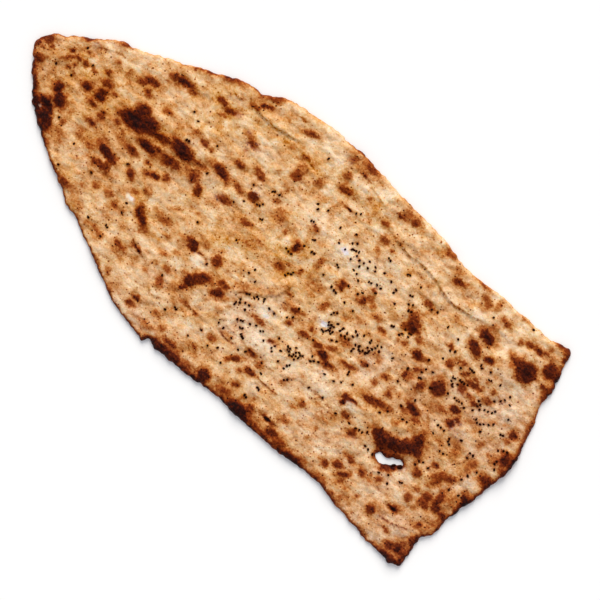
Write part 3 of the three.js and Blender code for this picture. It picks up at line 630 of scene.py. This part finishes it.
BROWNED = 0.95  # how baked the edge and the dents of the underside come to be, where 1 is black
CHARRED = 0.98


def faded(golden, bake):
    """The dough's golden or grey hue, which is lost where it browns."""
    return golden * (1 - 0.9 * step_up(bake, 0.28, 0.5))


def crust_surface(x, y):
    """The crust at each point: its height, then how baked, pale and golden it is, and the shade painted along
    its cracks.
    """
    under, thick, depth, shoulder = rolled_section(x, y)
    inward = step_up(depth, 0, 3.5)

    # the outlines of burns and pale places wander
    wx = x + 0.7 * mottle(x, y, 6, 31) + 0.35 * mottle(x, y, 2.8, 32)
    wy = y + 0.6 * mottle(x, y, 6, 33) + 0.3 * mottle(x, y, 2.8, 34)
    burnt, raised = fire_marks(wx, wy, SCORCHES + FRECKLES)
    burnt *= 1 - 0.16 * np.clip(mottle(x, y, 6.5, 37, 1.6), 0, 1)
    raised *= 1 + 0.3 * mottle(x, y, 3.4, 35)
    # the shade painted along the cracks, broken into dots
    fold, painted_crack_shade = crack_lines(x, y)
    painted_crack_shade *= np.clip(0.75 + 0.6 * mottle(x, y, 4, 36), 0, 1)
    for bubble in BUBBLES:
        raised += bubble[5] * np.clip(1 - across(x, y, bubble) ** 2, 0, 1) ** 1.3
    pale = np.zeros_like(x)
    for patch in PALE:
        pale = np.maximum(pale, patch[5] * (1 - step_up(across(wx, wy, patch), 0.4, 1.3)))
    pale *= 1 - step_up(burnt, 0.25, 0.6)

    # plain dough is lightly baked, in mottles of several sizes
    bake = (0.21 + 0.05 * mottle(x, y, 34, 41) + 0.07 * mottle(x, y, 16, 42, 1.3)
            + 0.05 * mottle(x, y, 7, 43, 1.4))
    bake += (0.1 * np.clip(mottle(x, y, 9, 47, 1.3), 0, 1)
             + 0.1 * np.clip(mottle(x, y, 4.6, 48, 1.3) - 0.2, 0, 1))
    for zone in ZONES:
        bake += zone[5] * np.exp(-across(x, y, zone) ** 2)
    golden = 0.25 * mottle(x, y, 20, 49) + 0.1 * mottle(x, y, 8, 50, 1.5)
    for zone in GOLDEN:
        golden += zone[5] * np.exp(-across(x, y, zone) ** 2)

    # the edge browns by what the nearest rows of EDGES say, over a width that comes and goes
    spots = np.array([edge[:2] for edge in EDGES], float)
    nearness = 1 / (((x[:, None] - spots[:, 0]) ** 2 + (y[:, None] - spots[:, 1]) ** 2) ** 1.5 + 50)
    brown, width = (nearness @ np.array([edge[2:] for edge in EDGES]) / nearness.sum(1)[:, None]).T
    width *= 1 + 0.45 * mottle(x, y, 16, 44) + 0.3 * mottle(x, y, 6, 45)
    toasted_edge = brown * np.exp(-(np.maximum(depth - 0.3, 0) / np.maximum(width, 0.5)) ** 1.5)
    bake += (BROWNED - bake) * np.clip(toasted_edge * (0.9 + 0.25 * mottle(x, y, 5, 46)), 0, 1)
    bake += (CHARRED - bake) * burnt
    golden = faded(golden, bake)

    # the dough's own unevenness, in four sizes
    relief = (0.6 * mottle(x, y, 24, 51, 1.3) + 0.42 * mottle(x, y, 11, 52, 1.5)
              + 0.3 * mottle(x, y, 5.5, 53, 1.6) + 0.18 * mottle(x, y, 3.4, 54, 1.5))
    # fine creases where the dough was pulled: they follow its length, and come and go
    crease = np.exp(-(mottle(x, y, 15, 56, 4.0) / 0.09) ** 2) * np.clip(0.15 + mottle(x, y, 40, 57), 0, 1)
    relief -= 0.65 * crease
    # painted shade: the creases are drawn browner, as the shade that falls in them
    bake += 0.14 * crease * (1 - bake)
    height = under + thick * (RIM_LEVEL + (1 - RIM_LEVEL) * shoulder)
    height += (0.25 + 0.75 * inward) * (relief + raised) + fold * inward
    return height, bake, pale, painted_crack_shade, golden


# The underside lay on the pebbles: hundreds of shallow browned dents with paler dough between them.
DENTS = scattered(620, 61, (-256, 256), (-116, 116), (3, 6.5), (2.4, 5), (0, 180), (0.35, 0.95))


def underside_surface(x, y):
    """The underside at each point: its height, then how baked, pale and golden it is, and no painted crack
    shade.
    """
    under, thick, depth, shoulder = rolled_section(x, y)
    wx = x + 0.9 * mottle(x, y, 6, 62)
    wy = y + 0.9 * mottle(x, y, 6, 63)
    burnt, dents = fire_marks(wx, wy, DENTS)
    bake = 0.3 + 0.07 * mottle(x, y, 30, 64) + 0.07 * mottle(x, y, 10, 65)
    bake += (BROWNED - bake) * burnt * 0.75
    bake += (0.85 - bake) * 0.8 * np.exp(-depth / 2)
    height = under + RIM_LEVEL * thick * (1 - shoulder)
    height += shoulder * (0.8 * dents + 0.12 * np.clip(mottle(x, y, 14, 66) + 0.4, 0, None))
    floury = 0.25 * np.clip(mottle(x, y, 9, 67), 0, 1)
    golden = faded(0.4 * mottle(x, y, 24, 68), bake)
    above_table = np.maximum(height, 0.02)
    return above_table, bake, floury, np.zeros_like(x), golden


def put(name, data):
    """A new object in the scene that holds this mesh, lamp or camera."""
    made = bpy.data.objects.new(name, data)
    bpy.context.scene.collection.objects.link(made)
    return made


TONES = ("bake", "pale", "crack_shade", "golden")
UNFOLDED = 530  # mm of bread to the width of the unfolded skin

crust_z, *crust_tones = crust_surface(*crust_plan.T)
under_z, *under_tones = underside_surface(*under_plan.T)
# Crust and underside share the rim's points, so the underside's own ones follow the crust's.
spots = np.concatenate([np.column_stack([crust_plan, crust_z]),
                        np.column_stack([under_plan, under_z])[on_rim:]])
below = np.where(under_faces < on_rim, under_faces, under_faces + len(crust_plan) - on_rim)[:, ::-1]
corners = np.concatenate([crust_faces, below])
sheet = bpy.data.meshes.new("bread_sheet")
sheet.from_pydata(spots * MM, [], corners.tolist())
for name, top, bottom in zip(TONES, crust_tones, under_tones):
    tone = sheet.attributes.new(name, "FLOAT", "POINT")
    tone.data.foreach_set("value", np.concatenate([top, bottom[on_rim:]]).astype(np.float32))
# Crust and underside lie one above the other on the unfolded skin.
unfolded = sheet.uv_layers.new(name="OFBake")
flat = spots[corners.ravel(), :2] / UNFOLDED
flat = np.where(np.arange(len(flat))[:, None] < 3 * len(crust_faces), flat + (0.5, 0.25), flat + (0.5, 0.75))
unfolded.data.foreach_set("uv", flat.astype(np.float32).ravel())
sheet.shade_smooth()
sheet.validate()
bread = put("bread_sheet", sheet)


def linear(hex_colour):
    """An sRGB hex colour as linear red, green, blue and alpha."""
    parts = [int(hex_colour[i:i + 2], 16) / 255 for i in (1, 3, 5)]
    return [*(p / 12.92 if p <= 0.04045 else ((p + 0.055) / 1.055) ** 2.4 for p in parts), 1.0]


def add(tree, kind, inputs=None, **settings):
    """Adds a shader node: its settings, and its inputs as values or as other nodes' outputs."""
    new = tree.nodes.new("ShaderNode" + kind)
    for name, value in settings.items():
        setattr(new, name, value)
    for name, value in (inputs or {}).items():
        if isinstance(value, bpy.types.NodeSocket):
            tree.links.new(value, new.inputs[name])
        else:
            new.inputs[name].default_value = value
    return new


def new_material(name, values):
    """A new material with these values on its Principled node, and its node tree and that node."""
    material = bpy.data.materials.new(name)
    material.use_nodes = True
    skin = material.node_tree.nodes["Principled BSDF"]
    for socket, value in values.items():
        skin.inputs[socket].default_value = value
    return material, material.node_tree, skin


# Baked wholewheat crust: matt, mealy and speckled with bran. It goes from cream dough through tan and
# orange-brown to black char, with a dusting of flour on the pale places and painted shade in the cracks.
# Light soaks a millimetre or so into the crumb, which softens the edges of folds and blisters.
crust, tree, skin = new_material("baked_wholewheat_crust", {
    "IOR": 1.45, "Specular IOR Level": 0.06,
    "Subsurface Weight": 0.35, "Subsurface Radius": (1.0, 0.45, 0.2), "Subsurface Scale": 1.2 * MM})
place = add(tree, "TexCoord").outputs["Object"]
bake, pale, crack_shade, golden = (add(tree, "Attribute", attribute_name=name).outputs["Fac"] for name in TONES)

# The meal is drawn as clumps of 1.3 and 1.8 mm, several times its real size, so that it shows. The
# patches between blisters are 8.5 mm, as they are on such a crust.
meal = add(tree, "TexNoise", {"Vector": place, "Scale": 1 / (1.8 * MM), "Detail": 4.0, "Roughness": 0.7})
grain = add(tree, "TexNoise", {"Vector": place, "Scale": 1 / (1.3 * MM), "Detail": 5.0, "Roughness": 0.6})
patches = add(tree, "TexNoise", {"Vector": place, "Scale": 1 / (8.5 * MM), "Detail": 3.0, "Roughness": 0.55})
level = bake
for speckle, share in ((meal, 0.62), (grain, 0.22), (patches, 0.26)):
    level = add(tree, "Math", {0: speckle.outputs["Fac"], 1: share, 2: level},
                operation="MULTIPLY_ADD").outputs[0]

# Streaks 1.9 mm wide and five times as long, where the dough was pulled out along the sheet. They also
# take away what the speckles add on average.
pulled = add(tree, "VectorMath", {0: place, 1: (1 / 5, 1.0, 1.0)}, operation="MULTIPLY")
streaks = add(tree, "TexNoise", {"Vector": pulled.outputs[0], "Scale": 1 / (1.9 * MM), "Detail": 2.0})
streaks = add(tree, "MapRange", {"Value": streaks.outputs["Fac"], "From Min": 0.54, "From Max": 0.75,
                                 "To Min": -0.53, "To Max": -0.47})
level = add(tree, "Math", {0: level, 1: streaks.outputs[0]}, operation="ADD").outputs[0]

# Bran flakes in cells of 4.4 mm and open pores in cells of 2.6 mm are browner than the dough round them,
# each by an amount of its own, and shade is painted into a crack as browner dough down to its foot.
for cell, core, edge, channel, plain, strong, most in (
        (4.4, 0.09, 0.20, 0, 0.3, 0.9, 0.62),
        (2.6, 0.12, 0.28, 1, 0.45, 0.95, 0.42)):
    flecks = add(tree, "TexVoronoi", {"Vector": place, "Scale": 1 / (cell * MM), "Randomness": 1.0})
    cover = add(tree, "MapRange", {"Value": flecks.outputs["Distance"], "From Min": core, "From Max": edge,
                                   "To Min": 1.0, "To Max": 0.0})
    chosen = add(tree, "SeparateColor", {0: flecks.outputs["Color"]})
    chosen = add(tree, "MapRange", {"Value": chosen.outputs[channel], "From Min": plain, "From Max": strong,
                                    "To Max": most})
    level = add(tree, "Math", {0: cover.outputs[0], 1: chosen.outputs[0], 2: level},
                operation="MULTIPLY_ADD").outputs[0]
# painted shade along the cracks, drawn as browner dough
level = add(tree, "Math", {0: crack_shade, 1: 0.62, 2: level}, operation="MULTIPLY_ADD").outputs[0]

# from cream dough to char
tones = add(tree, "ValToRGB", {"Fac": level})
stops = [(0.02, "#F8DFC0"), (0.16, "#EECA9E"), (0.32, "#DEAA74"), (0.46, "#C68446"), (0.57, "#AA5C24"),
         (0.68, "#87380E"), (0.80, "#5E1E05"), (0.91, "#3A0F06"), (1.0, "#1D0907")]
while len(tones.color_ramp.elements) < len(stops):
    tones.color_ramp.elements.new(1.0)
for element, (position, hex_colour) in zip(tones.color_ramp.elements, stops):
    element.position = position
    element.color = linear(hex_colour)

# Flour lies on the pale places in clumps of 3.2 mm, dough stretched thin is nearly white, and dark shade is
# painted at the foot of a deep crack.
richness = add(tree, "MapRange", {"Value": golden, "From Min": -1.5, "From Max": 1.5,
                                  "To Min": 0.74, "To Max": 1.26})
hued = add(tree, "HueSaturation", {"Saturation": richness.outputs[0], "Color": tones.outputs["Color"]})
dust = add(tree, "TexNoise", {"Vector": place, "Scale": 1 / (3.2 * MM), "Detail": 3.0})
dusting = add(tree, "MapRange", {"Value": dust.outputs["Fac"], "From Min": 0.3, "From Max": 0.62})
dusting = add(tree, "Math", {0: dusting.outputs[0], 1: pale}, operation="MULTIPLY")
stretched = add(tree, "MapRange", {"Value": pale, "From Min": 1.0, "From Max": 1.5, "To Max": 0.9})
shaded_crack_foot = add(tree, "MapRange", {"Value": crack_shade, "From Min": 0.6, "From Max": 1.0, "To Max": 0.6})
colour = hued.outputs[0]
for amount, hex_colour in ((dusting, "#F0DEC4"), (stretched, "#EDE3E8"), (shaded_crack_foot, "#2A1006")):
    colour = add(tree, "Mix", {0: amount.outputs[0], 6: colour, 7: linear(hex_colour)},
                 data_type="RGBA").outputs[2]
tree.links.new(colour, skin.inputs["Base Color"])

# char has a slight sheen that floury dough lacks, and the meal stands up as a fine grain
sheen = add(tree, "MapRange", {"Value": level, "From Min": 0.4, "From Max": 0.95,
                               "To Min": 0.82, "To Max": 0.52})
tree.links.new(sheen.outputs[0], skin.inputs["Roughness"])
grain_height = add(tree, "Math", {0: meal.outputs["Fac"], 1: 1.4, 2: grain.outputs["Fac"]},
                   operation="MULTIPLY_ADD")
bump = add(tree, "Bump", {"Height": grain_height.outputs[0], "Strength": 0.8, "Distance": 0.8 * MM})
tree.links.new(bump.outputs[0], skin.inputs["Normal"])
sheet.materials.append(crust)

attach(bread, "root")
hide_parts("flatbread")

# ---------------------------------------------------------------------------------------------------
# Nigella seeds: black three-cornered drops, 2 to 3 mm long, thrown on the wet dough by the pinch. They
# are baked into the crust to about half their depth, thickest over the middle of the sheet. With them are
# two crumbs of charred dough on the lip of the burst hole, rolled in the same way but larger.

SEEDS = [
    # nose and upper left
    (-221, 26.5), (-208.5, 19.2), (-231, .2), (-216, 1.7), (-200, -29.5), (-177, -37), (-174.7, -57.6),
    (-151.2, -44.3), (-134.5, -19.6), (-113, 26.6), (-110.8, 27.2), (-92, 39.8), (-116.5, 43.8), (-124, 47.2),
    (-83, 18.3), (-33.5, 30.5), (-36.8, 27.2), (-34.8, 27.9), (-27.2, 20.6), (-25.4, 21.2), (-46.5, 22),
    (-52, 16), (-49.5, 37), (-34.8, 43.4), (-33.2, 44.6), (-29, 45), (-20, 93), (-1.5, 60.8), (1.2, 57.8),
    # lower left
    (-111.3, -51.3), (-114, -43), (-113.8, -67.2), (-112, -67.8), (-128.5, -72), (-111.3, -76.5),
    (-62, -15.5), (-29.5, -4.8), (-2.5, -12), (-4.5, -17), (-53.7, -65.8), (-29, -77.5), (-27.2, -78.2),
    (-33.5, -84), (-6, -87), (-1, -76.5), (-34, -35),
    # upper middle
    (8, 62.5), (3.8, 47.2), (5.6, 48), (24.5, 59), (37.5, 63.8), (43, 59), (40, 56.5), (44.5, 53.5),
    (46.5, 54), (48.7, 54.8), (43, 52.7), (49.5, 51.5), (53.5, 50.3), (57.5, 51), (32, 49.3), (39, 49),
    (47.5, 46.3), (56.5, 46.8), (62.5, 50.2), (60, 55), (66.5, 55), (68.5, 52.5), (75, 56.5), (83.5, 55.2),
    (69.5, 67.6), (71.6, 67), (89.2, 68.4), (91, 69.2), (91, 53), (91, 50), (77, 45.5), (81, 45.5),
    (70.6, 43), (72.6, 43.4), (63.5, 37.8), (80.5, 39.8), (55.5, 41.5), (59, 41), (42.6, 35.8), (44.8, 34.7),
    (14.8, 36.8), (16.4, 37.8), (13.3, 28.7), (20.8, 29.2), (23.2, 29.7), (61, 29.3), (70.5, 29.7), (73, 33),
    (40, 22.3), (51.5, 19.7), (54.5, 19), (57, 18.5), (67.5, 17.7), (77, 17.2), (7, 16.7), (10, 16.8),
    (4, 17.5), (26, 76), (29, 78.3), (102.2, 57.6), (104, 58.4), (109, 53.5), (106, 51.5), (109.3, 47.6),
    (111.7, 48.5), (118, 35), (122.2, 34.8), (124, 35.4), (123.5, 32), (118.3, 30.7), (117, 28.3),
    (107.6, 29.6), (109.4, 30.4), (97.5, 44), (21.2, 7.2), (20.8, 5), (18.8, 3.8), (18.2, 1.2), (67, 5.8),
    (69.2, 7.4), (66.3, 3.5), (75.5, 1.5), (81, 2), (86, 1), (91, 2.3), (90, 6.8), (93, 5.5), (97, 9),
    (104, 10), (104.3, 7.8), (105.5, 3.7), (108.2, 2.4), (107, 0), (109, 5.3), (110.5, 10.2), (110.3, 7.8),
    (113.5, 11.7), (114.5, 7.5), (126, 11.5), (100, .5), (127.5, 62.5), (122.5, 61), (104, 68),
    # lower middle
    (4, -19), (42, -22.3), (44.5, -11), (45.5, -19), (19, -23.8), (19.8, -25.6), (13.3, -26.6), (15.4, -27.2),
    (12.5, -29), (7.6, -29.2), (5.6, -30.3), (27, -27), (32.5, -27.3), (5, -37), (9.8, -36.5), (13.3, -36),
    (4, -41.5), (6.5, -39.6), (4, -43.4), (13.3, -40.8), (49, -39), (28.5, -44), (35.8, -43.6), (34, -44.8),
    (24, -46.5), (41, -48.7), (50.7, -46), (49.6, -48.8), (51.7, -50.8), (56.5, -45.5), (16.6, -49.2),
    (18.4, -48.6), (14, -50.5), (20.2, -54), (22, -53), (24.4, -57.2), (27.8, -58.6), (26.2, -58), (5, -62.5),
    (10.5, -63.2), (20.7, -64.8), (36.3, -65), (31, -68), (52, -63), (57.5, -69.5), (60.5, -53), (68, -54),
    (68.4, -50.8), (69.6, -49), (76, -58.5), (74.3, -60.7), (93, -51.5), (106.5, -50), (122.5, -52),
    (63, -79.7), (65, -80.2), (59.6, -91), (61.6, -91.2), (104, -34), (95, -35), (109, -30.8), (108, -20.6),
    (108.6, -22.6), (117, -26), (69.7, -21.5), (84.7, -31.5), (78, -31.3), (81.5, -33.3), (79.5, -35.2),
    (18, -78), (11, -82), (28, -85), (58.6, -38.8), (61, -39), (64, -35.3), (66.4, -38.2), (68.5, -36.6),
    (70.6, -37.6), (72.3, -36.4), (66, -40.6), (70.6, -40.2), (62, -41.3), (64, -43.2), (66.1, -42.6),
    (69, -43.3), (60, -41), (68.4, -40.4), (69.2, -2.4), (70.4, -4.3), (72, -2.8), (74.6, -2.6), (73.4, -5.3),
    (74.6, -7.2), (76.2, -8.5), (72.2, -8.9), (70.8, -11), (68.8, -10.6), (80.5, -1.3), (81, 1), (84, -9.5),
    (80.5, -11.5), (83.5, -3.5), (86, -2), (87.4, -3), (90, -1.8), (98, -4.5), (98, -7), (101.4, -2.2),
    (103, -2.6), (100, -.8), (97, -1.2), (104.4, -.6), (107.5, -1.3), (108.3, .9), (115, -6.7), (73, -7.2),
    (76.6, -6.2),
    # upper right
    (159, 49), (155.5, 47), (154, 58), (141.5, 59.5), (176.8, 47.3), (179.2, 47.3), (181.4, 47.3),
    (181.8, 55.2), (183.8, 53.9), (191, 56.3), (194.2, 51), (196, 51.6), (203.5, 54), (216, 52.5),
    (214.5, 48), (220, 47.5), (212.5, 45), (209, 41.5), (171, 42.8), (155.5, 38.5), (227, 38.5),
    (199.5, 33.2), (202.5, 31.7), (201.5, 29.3), (214, 33.3), (211, 32), (208, 31), (204.5, 28.5), (215, 36),
    (171.7, 32.8), (173.5, 33.4), (178.5, 31.3), (172.8, 30), (174.9, 28.7), (176.4, 27.2), (177.4, 35),
    (179.5, 35), (181.6, 35.3), (184.5, 36), (148, 30), (151.5, 23), (157, 25), (150.5, 19), (151.8, 14),
    (153.5, 14.8), (163.8, 14.3), (165.4, 15.1), (140.5, 13.7), (177.5, 20.8), (184, 21.7), (186.6, 21.4),
    (188.6, 22), (191, 22.5), (194.5, 21), (201, 24.5), (208, 21), (210.5, 19.5), (213.2, 20.3), (215, 22.2),
    (218.5, 24.5), (221, 27.5), (230.6, 25.4), (232.5, 26), (217, 16), (244.3, 18.5), (241.3, 17.5),
    (238, 14.5), (243, 7.6), (243, 5.1), (246, 1.5), (211, .7), (141.5, .5), (193, 104.5), (163, 90),
    # lower right
    (189, -3), (192, -3), (195.3, -3), (203, -5), (203.7, -7.2), (206, -8.3), (223, -2.2), (226, -2),
    (223.7, -6.5), (237.3, -9.7), (162, -1), (157, -11.7), (165, -19), (169, -18.5), (204, -17.3),
    (207.5, -17), (190.5, -10.5), (232.3, -22.3), (234, -16.7), (152, -22.5), (148, -27.5), (200.5, -33),
    (206.5, -33.5), (197.5, -34.5), (197, -38.5), (230.5, -35), (239, -33.3), (151.5, -45.8), (136, -50.3),
    (142.3, -49.9), (145.5, -48.8), (148.5, -49), (157.7, -55), (161.3, -55.5), (166.5, -56), (187, -59.3),
    (180.3, -63), (191, -65), (197.7, -57.4), (199.3, -56.6),
]
CRUMBS = [(185.2, -51.3), (189.7, -48.3)]
CRUMB_SWELL = 1.8
SEED_LENGTH = (2.0, 2.9)
SEED_GIRTH = (1.6, 2.15)
STANDS = 0.22  # how far a seed's middle line stands above the crust
ROUND = 9  # faces round a seed
RINGS = (0.07, 0.26, 0.5, 0.74, 0.93)  # ring places from blunt end to point, as shares of the length

crust_top = BVHTree.FromPolygons(spots[:len(crust_plan)].tolist(), crust_faces.tolist())
seed_spots = []
seed_faces = []
shapes = np.random.default_rng(71)
for x, y in SEEDS + CRUMBS:
    top, slope, *_ = crust_top.ray_cast(Vector((x, y, CLEAR_OF_BREAD)), DOWN)
    if top is None:
        continue
    swell = CRUMB_SWELL if (x, y) in CRUMBS else 1.0
    length, girth = swell * shapes.uniform(*SEED_LENGTH), swell * shapes.uniform(*SEED_GIRTH)
    yaw, roll = shapes.uniform(0, 2 * math.pi, 2)
    pointing = Vector((math.cos(yaw), math.sin(yaw), shapes.uniform(-0.25, 0.25)))
    pointing = (pointing - slope * pointing.dot(slope)).normalized()
    side = slope.cross(pointing)
    blunt = top + slope * STANDS - pointing * length * 0.45
    first = len(seed_spots)
    for share in RINGS:
        # an oval from end to end, slimmer towards the point, with three soft corners round it
        wide = girth / 2 * math.sqrt(1 - (2 * share - 1) ** 2) * (1.12 - 0.3 * share)
        for k in range(ROUND):
            turn = 2 * math.pi * k / ROUND
            corner = wide * (1 + 0.13 * math.cos(3 * turn))
            outward = side * math.cos(turn + roll) + slope * math.sin(turn + roll)
            seed_spots.append(blunt + pointing * length * share + outward * corner)
    seed_spots += [blunt, blunt + pointing * length]
    tail, tip = len(seed_spots) - 2, len(seed_spots) - 1
    last = (len(RINGS) - 1) * ROUND
    for k in range(ROUND):
        a, b = first + k, first + (k + 1) % ROUND
        for ring in range(len(RINGS) - 1):
            seed_faces.append([v + ring * ROUND for v in (a, b, b + ROUND, a + ROUND)])
        seed_faces += [[b, a, tail], [a + last, b + last, tip]]

# the dough browns in a halo round each seed, which fades out between 1 and 2.6 mm from it
HALO_BAKE = 0.8
near_seeds = finder(SEEDS)
gap = np.array([near_seeds.find((*spot[:2], 0))[2] for spot in spots])
halo = 0.3 * (1 - step_up(gap, 1.0, 2.6))
halo[len(crust_plan):] = 0
tone = sheet.attributes["bake"].data
browned = np.concatenate([crust_tones[0], under_tones[0][on_rim:]])
tone.foreach_set("value", (browned + (HALO_BAKE - browned) * halo).astype(np.float32))

seed_mesh = bpy.data.meshes.new("nigella_seeds")
seed_mesh.from_pydata([spot * MM for spot in seed_spots], [], seed_faces)
seed_mesh.shade_smooth()
seeds = put("nigella_seeds", seed_mesh)

# Nigella seed coat: a dull black skin with a fine pitted net, which baking leaves a little brown. The
# pits are 0.6 mm, about three times their real size, so that they show.
coat, tree, skin = new_material("nigella_seed_coat", {
    "IOR": 1.45, "Specular IOR Level": 0.03, "Roughness": 0.6})
place = add(tree, "TexCoord").outputs["Object"]
pits = add(tree, "TexNoise", {"Vector": place, "Scale": 1 / (0.6 * MM), "Detail": 2.0})
black = add(tree, "Mix", {0: pits.outputs["Fac"], 6: linear("#140502"), 7: linear("#361206")},
            data_type="RGBA")
tree.links.new(black.outputs[2], skin.inputs["Base Color"])
net = add(tree, "Bump", {"Height": pits.outputs["Fac"], "Strength": 0.5, "Distance": 0.1 * MM})
tree.links.new(net.outputs[0], skin.inputs["Normal"])
seed_mesh.materials.append(coat)

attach(seeds, "root")

# ---------------------------------------------------------------------------------------------------
# The table top: a flat board painted plain matt white, far larger than the bread, which lies loose on it.
# From here on lengths are in metres.

FAR = 8  # from the middle of the board to its sides
table = bpy.data.meshes.new("white_table")
table.from_pydata([(-FAR, -FAR, 0), (FAR, -FAR, 0), (FAR, FAR, 0), (-FAR, FAR, 0)], [], [(0, 1, 2, 3)])
board = put("white_table", table)

# Matt white paint: nearly all the light comes back, and none of it as a shine.
paint, *_ = new_material("matt_white_paint", {
    "Base Color": linear("#FBFBFB"), "Roughness": 0.95, "Specular IOR Level": 0.1})
table.materials.append(paint)

# ---------------------------------------------------------------------------------------------------
# Studio light: a broad white sky that fills the shadows, and one large soft lamp, low beyond the top of
# the view, that picks out the folds and blisters.

world = bpy.data.worlds.new("studio_sky")
world.use_nodes = True
tree = world.node_tree
sky = tree.nodes["Background"]
sky.inputs["Color"].default_value = linear("#F7F9FF")
sky.inputs["Strength"].default_value = 0.58
seen = add(tree, "Background", {"Color": linear("#FFFFFF"), "Strength": 1.0})
direct = add(tree, "LightPath")
either = add(tree, "MixShader", {0: direct.outputs["Is Camera Ray"], 1: sky.outputs[0], 2: seen.outputs[0]})
tree.links.new(either.outputs[0], tree.nodes["World Output"].inputs["Surface"])
bpy.context.scene.world = world

VIEW_TURN = math.radians(43)  # of the view's right-hand side from +X
up_the_view = Vector((-math.sin(VIEW_TURN), math.cos(VIEW_TURN), 0))
across_the_view = Vector((math.cos(VIEW_TURN), math.sin(VIEW_TURN), 0))
lamp = bpy.data.lights.new("soft_lamp", "SUN")
lamp.energy = 2.95
lamp.angle = math.radians(36)
lamp.color = linear("#FFFAF2")[:3]
from_lamp = up_the_view * 1.0 + across_the_view * 0.12 + Vector((0, 0, 0.68))
put("soft_lamp", lamp).rotation_euler = from_lamp.to_track_quat("Z", "Y").to_euler()

# ---------------------------------------------------------------------------------------------------
# Camera: straight above with a long lens, and turned so that the bread lies slantwise across the view,
# nose up and to the left.

VIEW_WIDTH = 0.480  # of the table
HEIGHT = 2.6
MIDDLE = (0.0402, -0.0052)  # the place on the table in the middle of the view
camera = bpy.data.cameras.new("overhead_camera")
camera.sensor_width = 36
camera.lens = camera.sensor_width * HEIGHT / VIEW_WIDTH
camera.clip_end = 40
camera_at = put("overhead_camera", camera)
camera_at.location = (*MIDDLE, HEIGHT)
camera_at.rotation_euler = (0, 0, VIEW_TURN)
bpy.context.scene.camera = camera_at
bpy.context.scene.view_settings.view_transform = "Standard"
bpy.context.scene.view_settings.look = "None"
